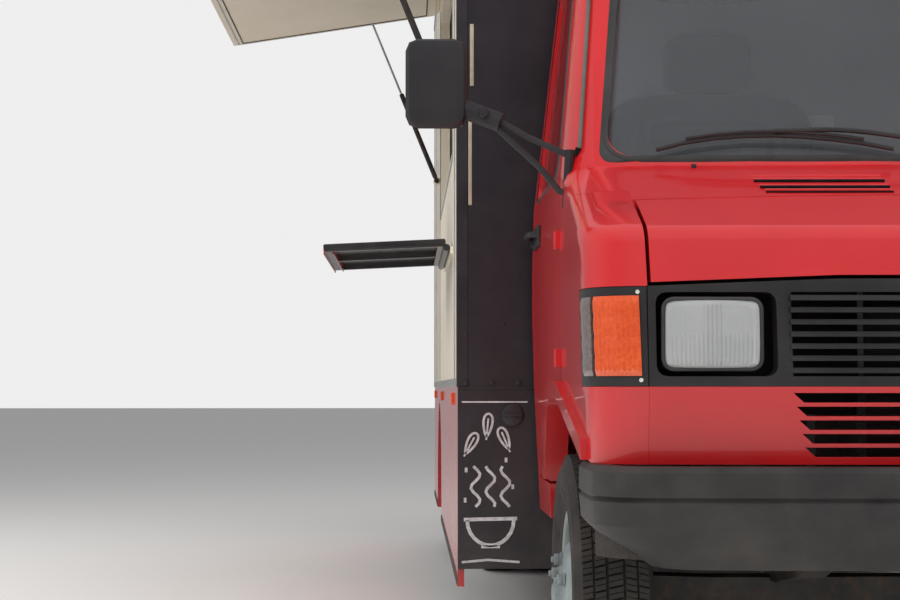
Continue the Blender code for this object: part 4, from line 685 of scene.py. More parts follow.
def quilt(name, rows, around=False, capped=False):
    """A skin over rows of places on the truck; each row goes round when around is set."""
    count = len(rows[0])
    faces = []
    for row in range(len(rows) - 1):
        for step in range(count if around else count - 1):
            after = (step + 1) % count
            faces.append((row * count + step, row * count + after, (row + 1) * count + after,
                          (row + 1) * count + step))
    if capped:
        faces.append(tuple(range(count)))
        faces.append(tuple((len(rows) - 1) * count + step for step in range(count)))
    mesh = bpy.data.meshes.new(name)
    mesh.from_pydata([tuple(on_truck(*place)) for row in rows for place in row], [], faces)
    piece = bpy.data.objects.new(name, mesh)
    bpy.context.scene.collection.objects.link(piece)
    return outward(piece, weld=FINE_WELD)


def rounded_outline(corners, radius, steps=5):
    """A closed outline in two measures with rounded corners."""
    outline = []
    for index, corner in enumerate(corners):
        here = Vector(corner)
        back = (Vector(corners[index - 1]) - here).normalized()
        ahead = (Vector(corners[(index + 1) % len(corners)]) - here).normalized()
        half = math.acos(max(-1, min(1, back.dot(ahead)))) / 2
        middle = here + (back + ahead).normalized() * radius / math.sin(half)
        start = here + back * radius / math.tan(half) - middle
        end = here + ahead * radius / math.tan(half) - middle
        for step in range(steps + 1):
            bent = start.lerp(end, step / steps).normalized() * radius
            outline.append(tuple(middle + bent))
    return outline


# Three louvres are pressed into the cowl on each side of the middle, above the bonnet's shut line:
# each opening is a near-black tube of painted shade under a rolled red lip. A shallow swage runs above them.
# Painted shade: a dull near-black that barely reflects stands for the shade inside the louvre openings. The
# gutter clip uses the same black as its own colour.
SHADE_AND_CLIP_BLACK = plain_finish("painted_shade_and_clip_black", (0.004, 0.004, 0.005), (0.010, 0.010, 0.011), 20.0, 500.0,
                             Roughness=0.9, Specular_IOR_Level=0.2)


def on_cowl(x, z, proud=0.0):
    """A place on the cowl's skin below the windscreen, standing a little proud of it."""
    return (x, cab_front(x, z) - proud * 0.5, z + proud * 0.85)


LOUVRE_ROWS = ((1.3255, -0.554, -0.259), (1.3065, -0.549, -0.259), (1.2925, -0.543, -0.259))
louvres = []
lips = []
for z, start_x, end_x in LOUVRE_ROWS:
    across_xs = [start_x + (end_x - start_x) * step / 6 for step in range(7)]
    louvres.append(tube("louvre_opening", [on_cowl(x, z, 0.0004) for x in across_xs],
                        0.0050 if z > 1.30 else 0.0030))
    lips.append(tube("louvre_lip", [on_cowl(x, z + 0.0068, -0.0004) for x in across_xs], 0.0040))
lips.append(tube("swage", [on_cowl(x, 1.3445, -0.0015) for x in (-0.56, -0.45, -0.35, -0.255)], 0.0032))
# The louvre openings are dark tubes of painted shade, not holes.
openings = joined("louvre_openings_right", *louvres)
pressed = joined("louvre_lips_right", *lips)
fit_pair(openings, "chassis", SHADE_AND_CLIP_BLACK, "black_plastic")
fit_pair(pressed, "chassis", RED_PAINT, "red_paint")


# A grey rubber strip covers the rain gutter up each windscreen pillar, over the door and back to the
# cab's end, and starts from a small clip.
SEAL_RUBBER = worn_finish("seal_rubber", (0.022, 0.021, 0.022), (0.048, 0.046, 0.046), 7.0, 500.0, 0.0004,
                          0.62, 0.3)
GUTTER_RUBBER = worn_finish("gutter_rubber", (0.085, 0.088, 0.075), (0.14, 0.14, 0.12), 9.0, 500.0, 0.0004,
                            0.6, 0.2)
pillar_line = [cab_corner(z, 52, 0.003) for z in (1.432, 1.52, 1.62, 1.72, 1.82, 1.92, 2.02)]
over_door = [(-0.868, 1.10, 2.112), (-0.872, 1.25, 2.120), (-0.874, 1.60, 2.122)]
gutter = tube("gutter_right", smooth_run(pillar_line + over_door, 4), 0.0055)
clip = block("gutter_clip_right", (-0.938, 0.688, 1.415), (-0.924, 0.702, 1.436), 0.003)
fit_pair(gutter, "chassis", GUTTER_RUBBER, "black_plastic")
fit_pair(clip, "chassis", SHADE_AND_CLIP_BLACK, "black_plastic")


# The doors close on a black rubber gasket that shows in the shut line, and carry a black pull handle
# on a plate, with a lock under it.
def cab_side(y, z, proud=0.0):
    """A place on the cab's right side skin."""
    return (-cab_section(z)[1] - proud, y, z)


door_corners = ((0.80, 0.60), (1.60, 0.60), (1.60, 2.06), (1.06, 2.06), (0.80, 1.36))
gasket_line = [cab_side(y, z, -0.017) for y, z in rounded_outline(door_corners, 0.03, 3)]
gasket_line = [place for place in gasket_line if place[2] > 1.25 or place[1] > 1.5]
gasket = tube("door_gasket_right", gasket_line, 0.008)
fit_pair(gasket, "chassis", SEAL_RUBBER, "black_plastic")

plate = block("handle_plate", (-0.9765, 1.365, 1.255), (-0.966, 1.545, 1.315), 0.004)
pull = tube("handle_pull", [(-0.970, 1.385, 1.290), (-0.990, 1.395, 1.290), (-0.996, 1.42, 1.290),
                            (-0.996, 1.50, 1.290), (-0.990, 1.525, 1.290), (-0.970, 1.535, 1.290)], 0.009)
lock = bar("handle_lock", (-0.970, 1.530, 1.268), (-0.981, 1.530, 1.268), 0.008, 16, 0.001)
handle = joined("door_handle_right", plate, pull, lock)
HANDLE_BLACK = worn_finish("handle_black", (0.020, 0.019, 0.020), (0.034, 0.032, 0.033), 9.0, 700.0, 0.0004,
                           0.4, 0.3)
fit_pair(handle, "door_right", HANDLE_BLACK, "black_plastic")


# The windscreen and door windows are clear toughened glass with a faint blue-grey tint, held in thick
# black rubber. Two sun visors hang behind the top of the screen.
def clear_finish(name, scale, detail, haze, tones, **sockets):
    """Glass or clear plastic: see-through by its Alpha, under a coat, with a film of two tones and a haze."""
    made, tree, shader = new_finish(name, Metallic=0.0, Coat_Weight=1.0, **sockets)
    where = shader_node(tree, "ShaderNodeTexCoord")
    film = shader_node(tree, "ShaderNodeTexNoise", {
        "Vector": where.outputs["Object"], "Scale": scale, "Detail": detail})
    start, low, high = haze
    misted = shader_node(tree, "ShaderNodeMapRange", {
        "Value": film.outputs["Fac"], "From Min": start, "From Max": 0.8, "To Min": low, "To Max": high})
    dark, light = tones
    tone = shader_node(tree, "ShaderNodeMix", {
        "Factor": film.outputs["Fac"], "A": (*dark, 1), "B": (*light, 1)}, data_type="RGBA")
    coloured(tree, shader, tone.outputs["Result"], misted.outputs["Result"])
    return made


GLASS = clear_finish("glass", 3.0, 6.0, (0.4, 0.02, 0.10), ((0.075, 0.085, 0.095), (0.120, 0.130, 0.140)),
                     Alpha=0.32, Coat_Roughness=0.02, Coat_IOR=1.9)
dress(GLASS, "windscreen", "door_glass_right", "door_glass_left")

SCREEN_CORNERS = ((-0.872, 1.405), (0.872, 1.405), (0.790, 2.03), (-0.790, 2.03))


def grown(corners, by):
    """Corners of an outline moved outwards from its middle on both measures."""
    middle = [sum(corner[side] for corner in corners) / len(corners) for side in (0, 1)]
    return tuple(tuple(value + math.copysign(by, value - middle[side]) for side, value in enumerate(corner))
                 for corner in corners)


# Columns: how far outside the opening, and how far proud of the skin
SEAL_SHAPE = ((-0.020, -0.014), (-0.020, -0.004), (-0.016, 0.000), (-0.008, 0.002), (-0.004, -0.001),
              (0.000, 0.002), (0.008, 0.0035), (0.013, 0.001), (0.0145, -0.004))
seal_rows = []
for grow, proud in SEAL_SHAPE:
    outline = rounded_outline(grown(SCREEN_CORNERS, grow), 0.050 + max(grow, -0.02), 7)
    seal_rows.append(outline)
marks = []
for index, start in enumerate(seal_rows[0]):
    end = seal_rows[0][(index + 1) % len(seal_rows[0])]
    parts = max(1, round(math.dist(start, end) / 0.06))
    marks += [(index, part / parts) for part in range(parts)]
seal_rows = [[tuple(a + (b - a) * share for a, b in zip(outline[index], outline[(index + 1) % len(outline)]))
              for index, share in marks] for outline in seal_rows]
seal_rows = [[(x, cab_front(x, z) - proud * 1.1, z) for x, z in outline]
             for outline, (grow, proud) in zip(seal_rows, SEAL_SHAPE)]
screen_seal = quilt("screen_seal", seal_rows, around=True)
fit(screen_seal, "chassis", SEAL_RUBBER, "black_plastic", smooth=60)

WINDOW_CORNERS = ((0.875, 1.40), (1.54, 1.40), (1.54, 2.005), (1.10, 2.005))
window_rows = []
for grow, proud in ((-0.016, -0.012), (-0.016, -0.002), (-0.006, 0.003), (0.006, 0.003), (0.010, -0.004)):
    outline = rounded_outline(grown(WINDOW_CORNERS, grow), 0.045 + max(grow, -0.015), 4)
    window_rows.append([cab_side(y, z, proud) for y, z in outline])
window_seal = quilt("window_seal_right", window_rows, around=True)
fit_pair(window_seal, "door_right", SEAL_RUBBER, "black_plastic", smooth=60)

VISOR_EDGE = ((-0.78, 1.875), (-0.70, 1.835), (-0.55, 1.825), (-0.35, 1.845), (-0.18, 1.845), (-0.03, 1.83))
VISOR_VINYL = worn_finish("visor_vinyl", (0.014, 0.011, 0.011), (0.028, 0.022, 0.021), 8.0, 420.0, 0.0006,
                          0.7, 0.0)
visor_front = []
visor_back = []
for x, z in smooth_run(VISOR_EDGE, 4):
    visor_front.append([(x, cab_front(x, height) + 0.045, height) for height in (z, (z + 2.04) / 2, 2.04)])
    visor_back.append([(x, cab_front(x, height) + 0.058, height) for height in (2.04, (z + 2.04) / 2, z)])
visor = quilt("sun_visor_right", [front + back for front, back in zip(visor_front, visor_back)], around=True,
              capped=True)
fit_pair(visor, "chassis", VISOR_VINYL, "dash_plastic", smooth=50)


# Two wipers lie low across the screen: a pressed steel arm in black, a bridge and a rubber blade.
# Each is fixed by a spindle with a cap in the cowl. Two washer jets stand beside them.
def wiper(name, tip_x, root_x, spindle_x):
    """A wiper on the screen: blade, bridge, bent arm and the spindle's cap."""
    blade_line = []
    arm_line = []
    for step in range(9):
        share = step / 8
        x = tip_x + (root_x - tip_x) * share
        z = 1.418 + 0.040 * math.sin(math.pi * share) ** 0.8 * (1 - 0.25 * share)
        blade_line.append((x, cab_front(x, z) - 0.012, z))
        arm_line.append((x, cab_front(x, z + 0.008) - 0.022, z + 0.009))
    blade = tube(name + "_blade", blade_line, 0.0055)
    bridge = tube(name + "_bridge", arm_line[1:-1], 0.0042)
    middle = arm_line[4]
    arm = tube(name + "_arm", smooth_run([
        middle, (middle[0] + 0.18, cab_front(middle[0] + 0.18, 1.462) - 0.030, 1.462),
        (spindle_x - 0.16, cab_front(spindle_x - 0.16, 1.425) - 0.034, 1.425),
        (spindle_x, cab_front(spindle_x, 1.380) - 0.030, 1.382)], 5), 0.006)
    cap = bar(name + "_cap", (spindle_x, cab_front(spindle_x, 1.372) + 0.010, 1.366),
              (spindle_x, cab_front(spindle_x, 1.372) - 0.034, 1.392), 0.013, 20, 0.004)
    return joined(name, blade, bridge, arm, cap)


for name, ends in (("wiper_right", (-0.755, -0.200, 0.08)), ("wiper_left", (0.02, 0.575, 0.80))):
    fit(wiper(name, *ends), "chassis", HANDLE_BLACK, "black_plastic")
jets = [bar("jet", (x, cab_front(x, 1.374), 1.366), (x, cab_front(x, 1.374) - 0.006, 1.380), 0.006, 12, 0.002)
        for x in (-0.672, 0.672)]
fit(joined("washer_jets", *jets), "chassis", HANDLE_BLACK, "black_plastic")


# The grille panel is moulded black plastic, greyed by the sun, round seven slats and two lamp openings.
# Behind it stands the radiator with its dark core of fins, drawn as bands of painted highlight and painted
# shade.
BLACK_PLASTIC = worn_finish("black_plastic", (0.012, 0.011, 0.012), (0.025, 0.023, 0.024), 6.0, 900.0, 0.0005,
                            0.46, 0.35)
skin_of("grille_panel", "chassis", BLACK_PLASTIC, "black_plastic", edge=0.0015, steps=2)


def radiator_core():
    """Dull black with the core's close fins: their lit edges and the shade between them are painted as light
    and dark bands, over the fins' relief.
    """
    made, tree, shader = new_finish("radiator_black", Metallic=0.3, Roughness=0.55)
    where = shader_node(tree, "ShaderNodeTexCoord")
    fins = shader_node(tree, "ShaderNodeTexWave", {"Vector": where.outputs["Object"], "Scale": 70.0},
                       bands_direction="Z")
    tone = shader_node(tree, "ShaderNodeMix", {
        "Factor": fins.outputs["Fac"], "A": (0.008, 0.008, 0.009, 1), "B": (0.045, 0.045, 0.048, 1)},
        data_type="RGBA")
    coloured(tree, shader, tone.outputs["Result"])
    bumped(tree, shader, fins.outputs["Fac"], 0.6, 0.002)
    return made


dress(radiator_core(), "radiator")


# Each headlamp is a black shell with a bright reflector bowl and a shielded bulb, behind a thick pressed
# glass with upright flutes. The bowl's brightness is a painted reflection in a pale, half-metallic colour,
# and the glass's pale half-opaque tone is painted light from the bowl behind it.
# Painted reflection: a pale colour, only half metallic, paints the bright reflection of the lamp bowl and the
# shine of the bulb cap and the indicator screws.
CHROME_WITH_PAINTED_REFLECTION = plain_finish("chrome_with_painted_reflection", (0.88, 0.85, 0.76), (0.96, 0.95, 0.90), 9.0, 90.0,
                                Metallic=0.45, Roughness=0.16)
# Painted light: the clear lamp glass has a pale grey, half-opaque tone that stands in for the bright bowl
# seen through it. Its film and haze vary in patches.
LAMP_GLASS = clear_finish("lamp_glass", 14.0, 5.0, (0.3, 0.03, 0.13),
                          ((0.56, 0.58, 0.58), (0.74, 0.75, 0.74)), Alpha=0.48, Coat_Roughness=0.03)
LAMP_X, LAMP_Z, LAMP_WIDE, LAMP_TALL, LAMP_CORNER = -0.714, 0.968, 0.1025, 0.073, 0.022


def lamp_row(share, y):
    """The lamp's rounded outline drawn in to a share of its size, at a depth."""
    wide, tall = LAMP_WIDE * share, LAMP_TALL * share
    outline = rounded_outline(((-wide, -tall), (wide, -tall), (wide, tall), (-wide, tall)),
                              LAMP_CORNER * share, 5)
    return [(LAMP_X + x, y, LAMP_Z + z) for x, z in outline]


shell = quilt("headlamp_shell_right",
              [lamp_row(0.93, 0.150), lamp_row(1.0, 0.136), lamp_row(1.0, 0.205), lamp_row(0.6, 0.215)],
              around=True, capped=True)
bowl_rows = [lamp_row(0.97, 0.137)]
bowl_rows += [lamp_row(0.97 - 0.86 * step / 7, 0.140 + 0.055 * math.sin(math.pi / 2 * step / 7))
              for step in range(1, 8)]
bowl = quilt("lamp_bowl", bowl_rows, around=True)
apply_modifier(bowl, "SOLIDIFY", thickness=0.001)
bulb_cap = bar("bulb_cap", (LAMP_X, 0.196, LAMP_Z), (LAMP_X, 0.160, LAMP_Z), 0.012, 20, 0.003)
bowl = joined("headlamp_bowl_right", bowl, bulb_cap)

glass_front = []
glass_back = []
FLUTES, GLASS_ROWS = 22, 24
for row in range(GLASS_ROWS + 1):
    v = -1 + 2 * row / GLASS_ROWS
    front = []
    back = []
    for column in range(FLUTES * 2 + 1):
        u = -1 + column / FLUTES
        pinch_u = u * (1 - 0.050 * v ** 4)
        pinch_v = v * (1 - 0.085 * u ** 4)
        x = LAMP_X + pinch_u * LAMP_WIDE * 0.985
        z = LAMP_Z + pinch_v * LAMP_TALL * 0.985
        roll = 0.010 * (1 - (1 - max(abs(u), abs(v)) ** 10) ** 0.5)
        inside = abs(v) < 0.9 and abs(u) < 0.94
        depth = 0.0034 if abs(u) < 0.16 else (0.0024 if v < -0.04 else 0.0008)
        flute = depth if column % 2 and inside else 0.0
        front.append((x, 0.1245 - 0.004 * (1 - u * u) + roll - flute, z))
        back.append((x, 0.1345, z))
    glass_front.append(front)
    glass_back.append(back)
lens = quilt("headlamp_glass_right", glass_front + glass_back[::-1] + [glass_front[0]])
sides = quilt("glass_sides", [[row[0] for row in glass_front], [row[0] for row in glass_back]])
other = quilt("glass_other", [[row[-1] for row in glass_front], [row[-1] for row in glass_back]])
lens = outward(joined("headlamp_glass_right", lens, sides, other))
seal = tube("headlamp_seal_right", lamp_row(0.995, 0.131)[:-1], 0.0042, closed=True)
fit_pair(bowl, "chassis", CHROME_WITH_PAINTED_REFLECTION, "zinc_steel", smooth=50)
fit_pair(lens, "chassis", LAMP_GLASS, "lamp_glass", smooth=20)
fit_pair(shell, "chassis", BLACK_PLASTIC, "black_plastic", "headlamp_right")
fit_pair(seal, "chassis", SEAL_RUBBER, "black_plastic")


# The indicators wrap round the front corners: a black moulded housing with a ribbed amber lens in front
# and a smoked strip on the side, held by two cross-head screws.
def coloured_lens(name, dark, light):
    """Moulded coloured plastic with a cellular pattern under a clear coat."""
    made, tree, shader = new_finish(name, Roughness=0.22, Coat_Weight=0.8, Coat_Roughness=0.04)
    where = shader_node(tree, "ShaderNodeTexCoord")
    cells = shader_node(tree, "ShaderNodeTexVoronoi", {"Vector": where.outputs["Object"], "Scale": 130.0})
    fading = shader_node(tree, "ShaderNodeTexNoise", {"Vector": where.outputs["Object"], "Scale": 7.0})
    blend = shader_node(tree, "ShaderNodeMath", {0: cells.outputs["Distance"], 1: fading.outputs["Fac"]},
                        operation="MULTIPLY")
    tone = shader_node(tree, "ShaderNodeMix", {
        "Factor": blend.outputs["Value"], "A": (*dark, 1), "B": (*light, 1)}, data_type="RGBA")
    coloured(tree, shader, tone.outputs["Result"])
    bumped(tree, shader, cells.outputs["Distance"], 0.2, 0.0008)
    return made


AMBER_LENS = coloured_lens("amber_lens", (0.62, 0.055, 0.006), (0.92, 0.16, 0.02))
SMOKED_LENS = coloured_lens("smoked_lens", (0.10, 0.075, 0.070), (0.26, 0.20, 0.18))
for side in ("right", "left"):
    skin_of("indicator_" + side, "chassis", BLACK_PLASTIC, "black_plastic", edge=0.003)


def corner_lens(name, turns, step, low, high, proud, rib):
    """A lens that follows the front corner between two turns, with upright ribs on its face."""
    count = round((turns[1] - turns[0]) / step)
    rows = []
    for level in range(17):
        z = low + (high - low) * level / 16
        edge = 0.003 if level in (0, 16) else 0.0016 * (level % 4 == 0)
        row = []
        for column in range(count + 1):
            lift = proud - edge + (rib if column % 2 and 0 < level < 16 else 0)
            row.append(cab_corner(z, turns[0] + step * column, lift))
        for column in range(count, -1, -1):
            row.append(cab_corner(z, turns[0] + step * column, -0.006))
        rows.append(row)
    return quilt(name, rows, around=True, capped=True)


LENS_LOW, LENS_HIGH = 0.882, 1.048
amber = corner_lens("indicator_lens_right", (7.0, 57.0), 2.5, LENS_LOW, LENS_HIGH, 0.0055, 0.0018)
smoked = corner_lens("indicator_strip_right", (62.0, 88.0), 2.6, LENS_LOW, LENS_HIGH, 0.0045, 0.0006)
screws = joined("indicator_screws_right", *(
    bar("screw", cab_corner(z, 8.0, -0.004), cab_corner(z, 8.0, 0.0022), 0.0045, 14, 0.001)
    for z in (1.0555, 0.8735)))
fit_pair(amber, "chassis", AMBER_LENS, "amber_lens", smooth=22)
fit_pair(smoked, "chassis", SMOKED_LENS, "amber_lens", smooth=22)
fit_pair(screws, "chassis", CHROME_WITH_PAINTED_REFLECTION, "zinc_steel", smooth=22)


# The front bumper is a hollow moulding in black plastic. Its lower part is an air dam with a rough
# sand-cast face, scuffed pale.
skin_of("front_bumper", "chassis", BLACK_PLASTIC, "black_plastic", edge=0.006, steps=3)
ROUGH_PLASTIC = worn_finish("rough_plastic", (0.006, 0.0055, 0.006), (0.036, 0.032, 0.031), 40.0, 160.0,
                            0.006, 0.75, 0.55, 0.8)


def bumper_line(z, proud):
    """Points round the bumper's face at a height, from the right wheel to the left."""
    right = [cab_corner(z, turn, proud) for turn in (66, 54, 42, 30, 20, 10)]
    front = [(x, cab_front(x, z) - proud, z) for x in [-0.80 + 0.1 * step for step in range(17)]]
    left = [(-x, y, level) for x, y, level in right[::-1]]
    return right + front + left


dam_rows = [bumper_line(z, proud) for z, proud in (
    (0.500, -0.004), (0.502, 0.0045), (0.52, 0.005), (0.55, 0.005), (0.580, 0.0045), (0.584, -0.004))]
air_dam = quilt("air_dam", dam_rows)
fit(air_dam, "chassis", ROUGH_PLASTIC, "black_plastic", smooth=30)
bolts = [bar("bolt", (x, cab_front(x, 0.667) + 0.002, 0.667), (x, cab_front(x, 0.667) - 0.005, 0.667),
             0.011, 6, 0.002) for x in (-0.62, -0.30, 0.30, 0.62)]
fit(joined("bumper_bolts", *bolts), "chassis", HANDLE_BLACK, "black_plastic")


# The door mirrors are tall heads of matt grained plastic on a jointed arm of coated tube, with a
# convex glass behind and a pinch bolt at the joint.
MIRROR_PLASTIC = worn_finish("mirror_plastic", (0.014, 0.013, 0.015), (0.028, 0.026, 0.028), 5.0, 1100.0,
                             0.0005, 0.62, 0.15)
MIRROR_GLASS = plain_finish("mirror_glass", (0.70, 0.73, 0.75), (0.80, 0.82, 0.83), 6.0, 300.0,
                            Metallic=1.0, Roughness=0.04)
for side in ("right", "left"):
    skin_of("mirror_" + side, "chassis", MIRROR_PLASTIC, "black_plastic", edge=0.007, steps=4)
mirror_face = block("mirror_glass_right", (-1.337, 0.7815, 1.500), (-1.207, 0.7845, 1.696), 0.0012)
apply_modifier(mirror_face, "BEVEL", width=0.001, segments=1)
pinch = joined("mirror_bolt_right",
               bar("head", (-1.158, 0.722, 1.520), (-1.158, 0.700, 1.520), 0.012, 6, 0.002),
               bar("washer", (-1.158, 0.724, 1.520), (-1.158, 0.715, 1.520), 0.016, 24, 0.001))
fit_pair(mirror_face, "chassis", MIRROR_GLASS, "zinc_steel")
fit_pair(pinch, "chassis", MIRROR_PLASTIC, "black_plastic")


# The cab is lined with blue-grey board, with a pale panel and ledge behind the seats. The dashboard is a
# grained moulding with a binnacle, vents, a grab rail and a glove box; the floor is the same dark plastic.
DASH_PLASTIC = worn_finish("dash_plastic", (0.016, 0.016, 0.018), (0.034, 0.034, 0.037), 8.0, 420.0, 0.0008,
                           0.55, 0.0)
LINING = worn_finish("lining_board", (0.30, 0.31, 0.33), (0.38, 0.39, 0.41), 4.0, 300.0, 0.0005, 0.8, 0.0)
PALE_BOARD = worn_finish("pale_board", (0.70, 0.70, 0.69), (0.80, 0.80, 0.79), 4.0, 300.0, 0.0005, 0.7, 0.0)
dress(DASH_PLASTIC, "cab_floor")
skin_of("dashboard", "chassis", DASH_PLASTIC, "dash_plastic", edge=0.008, steps=3)
skin_of("steering_wheel", "chassis", DASH_PLASTIC, "dash_plastic", edge=0.0)
lining = block("cab_lining", (-0.86, 1.610, 1.12), (0.86, 1.616, 2.02), 0.002)
fit(lining, "chassis", LINING, "dash_plastic")
headliner = block("headliner", (-0.74, 1.10, 2.150), (0.74, 1.608, 2.158), 0.003)
fit(headliner, "chassis", LINING, "dash_plastic")
ledge = joined("rear_ledge", block("board", (-0.72, 1.604, 1.610), (-0.07, 1.6095, 1.668), 0.002),
               block("shelf", (-0.72, 1.603, 1.598), (-0.07, 1.6095, 1.611), 0.002))
fit(ledge, "chassis", PALE_BOARD, "dash_plastic")
binnacle = block("binnacle", (0.28, 0.70, 1.325), (0.68, 0.88, 1.385), 0.02, 4)
rail = tube("grab_rail", smooth_run([(-0.66, 0.92, 1.27), (-0.64, 0.955, 1.29), (-0.46, 0.962, 1.295),
                                     (-0.28, 0.955, 1.29), (-0.26, 0.92, 1.27)], 4), 0.010)
box_lid = block("glove_box", (-0.68, 0.926, 1.14), (-0.26, 0.936, 1.235), 0.004)
vents = [block("vent", (x - 0.055, 0.924, 1.255), (x + 0.055, 0.934, 1.300), 0.003)
         for x in (-0.80, 0.0, 0.80)]
vents += [block("louvre", (x - 0.048, 0.930, z), (x + 0.048, 0.940, z + 0.003), 0.001)
          for x in (-0.80, 0.0, 0.80) for z in (1.262, 1.270, 1.278, 1.286)]
fit(joined("dash_fittings", binnacle, rail, box_lid, *vents), "chassis", HANDLE_BLACK, "dash_plastic")


# The seats are a double bench and a driver's seat: crowned foam cushions under grey-blue woven cloth,
# with sewn seams, on a boxed steel base with pedestals. The head rests are padded too.
def seat_weave():
    """Grey-blue cloth in a plain weave, soiled in patches."""
    made, tree, shader = new_finish("seat_cloth", Roughness=0.95, Sheen_Weight=0.2)
    where = shader_node(tree, "ShaderNodeTexCoord")
    weave = shader_node(tree, "ShaderNodeTexBrick", {
        "Vector": where.outputs["Object"], "Scale": 160.0, "Color1": (0.030, 0.032, 0.040, 1),
        "Color2": (0.058, 0.060, 0.070, 1), "Mortar": (0.012, 0.012, 0.014, 1)})
    stain = placed(tree, speckle, {
        "Dark": weave.outputs["Color"], "Light": (0.075, 0.075, 0.085, 1), "Patch Size": 5.0,
        "Grain Size": 400.0})
    coloured(tree, shader, stain.outputs["Colour"])
    bumped(tree, shader, weave.outputs["Fac"], 0.3, 0.001)
    return made


SEAT_CLOTH = seat_weave()


def cushion(name, low, high, crown, face, pleats=0):
    """A padded block: edges rolled, its face (0 x, 1 y, 2 z) crowned and drawn in along the seams."""
    piece = block(name, low, high)
    edited(piece, (bpy.ops.mesh.subdivide, {"number_cuts": 15}))
    near, far = on_truck(*low), on_truck(*high)
    middle, half = (near + far) / 2, (far - near) / 2
    flat = [axis for axis in (0, 1, 2) if axis != face]
    for point in piece.data.vertices:
        part = [(point.co[axis] - middle[axis]) / half[axis] for axis in (0, 1, 2)]
        reach = max(abs(value) for value in part)
        length = sum(abs(value) ** 5 for value in part) ** 0.2
        part = [value * (reach / max(length, 1e-6)) for value in part]
        u, v = (part[axis] for axis in flat)
        swell = (1 - min(abs(u), 1) ** 2.4) * (1 - min(abs(v), 1) ** 2.4)
        seams = [abs(abs(u) - 0.72) * half[flat[0]]]
        seams += [abs(v - (-0.8 + 1.6 * step / max(pleats - 1, 1))) * half[flat[1]] for step in range(pleats)]
        draw = sum(math.exp(-(gap / 0.008) ** 2) for gap in seams)
        part[face] *= 1 - 0.16 * crown + crown * swell - 0.045 * draw
        for axis in (0, 1, 2):
            limit = max(-1.0, min(1.0, part[axis]))
            point.co[axis] = middle[axis] + limit * half[axis]
    apply_modifier(piece, "SUBSURF", levels=1, render_levels=1)
    fit(piece, "chassis", SEAT_CLOTH, "seat_cloth", smooth=180)
    return piece


CROWN = 0.16
SEAT_ROWS = (("bench", -0.46, 0.62), ("driver", 0.48, 0.46))
for name, middle_x, width in SEAT_ROWS:
    left, right = middle_x - width / 2, middle_x + width / 2
    cushion(name + "_cushion", (left, 1.12, 1.092), (right, 1.58, 1.205), CROWN, 2, 3)
    cushion(name + "_back", (left, 1.488, 1.20), (right, 1.602, 1.715), CROWN, 1, 4)
    cushion(name + "_head_rest", (middle_x - 0.13, 1.50, 1.722), (middle_x + 0.13, 1.59, 1.895), CROWN, 1)
seat_base = joined("seat_base", block("base", (-0.70, 1.16, 1.06), (0.70, 1.58, 1.0895), 0.004),
                   *(block("pedestal", (x - 0.14, 1.22, 0.93), (x + 0.14, 1.52, 1.062), 0.006)
                     for x in (-0.46, 0.48)))
fit(seat_base, "chassis", CHASSIS_STEEL, "chassis_steel", "seats")


# The box's front wall is a sandwich panel in near-black, half gloss, screwed along its outer edges, with
# a folded black angle on each corner and narrow pale reflectors. A bolted strip closes its lower seam.
BLACK_PANEL = worn_finish("black_panel", (0.010, 0.008, 0.011), (0.021, 0.017, 0.022), 7.0, 260.0, 0.0006,
                          0.38, 0.30, 1.0, Coat_Weight=0.15, Coat_Roughness=0.25)
DARK_TRIM = worn_finish("dark_trim", (0.012, 0.011, 0.013), (0.028, 0.026, 0.030), 9.0, 500.0, 0.0005, 0.42,
                        0.25, 1.0)
REFLECTIVE = worn_finish("pale_reflector", (0.36, 0.31, 0.23), (0.50, 0.44, 0.34), 30.0, 260.0, 0.0006, 0.35,
                         0.2, 1.0)
dress(BLACK_PANEL, "box_front_wall", "front_skirt")
WALL_Y = 1.72
screws = []
for x, heights in ((1.165, (1.3545, 1.282, 1.145, 1.0185, 1.62, 1.86, 2.10, 2.34, 2.58, 2.80)),
                   (1.053, (1.049,)), (0.60, (2.80, 2.34)), (0.20, (2.80,))):
    for side in (-1, 1):
        screws += [bar("screw", (side * x, WALL_Y + 0.001, z), (side * x, WALL_Y - 0.0035, z),
                       0.0065, 12, 0.0015) for z in heights]
for side in (-1, 1):
    screws += [bar("bolt", (side * x, WALL_Y + 0.001, 0.872), (side * x, WALL_Y - 0.0085, 0.872),
                   0.0085, 6, 0.0015) for x in (1.165, 1.087, 1.008, 0.93)]
fit(joined("wall_screws", *screws), "chassis", DARK_TRIM, "black_plastic")
angles = []
for side in (-1, 1):
    angles += [block("corner_angle", (side * 1.192, 1.7175, 0.862), (side * 1.160, 1.7200, 2.86), 0.001, 1),
               block("corner_return", (side * 1.193, 1.7175, 0.862), (side * 1.190, 1.752, 2.86), 0.001, 1)]
angles.append(block("seam_strip", (-1.19, 1.7165, 0.853), (1.19, 1.7200, 0.860), 0.001, 1))
fit(joined("corner_angles", *angles), "chassis", DARK_TRIM, "black_plastic")
strips = []
for side in (-1, 1):
    for outer_x, inner_x, low, high in ((1.153, 1.141, 1.773, 1.963), (1.158, 1.147, 1.409, 1.672)):
        near, far = (side * outer_x, 1.7165, low), (side * inner_x, 1.7200, high)
        strips.append(block("reflector", near, far, 0.0015))
fit(joined("front_reflectors", *strips), "chassis", REFLECTIVE, "cream_panel")


# The front skirt hangs below the wall. Chalk-white lines are painted on it: a bowl with rising steam,
# leaves and dots, repeated on each side. The fuel filler's cap is above them on the right.
CHALK = worn_finish("chalk_paint", (0.42, 0.42, 0.42), (0.72, 0.72, 0.72), 60.0, 220.0, 0.0008, 0.8, 0.3)


def chalk_line(points, width=0.0062, closed=False):
    """A painted line over the skirt's face, through places given as distance from the middle and height."""
    return tube("chalk", [(x, WALL_Y - 0.0002, z) for x, z in points], width, closed, sides=1)


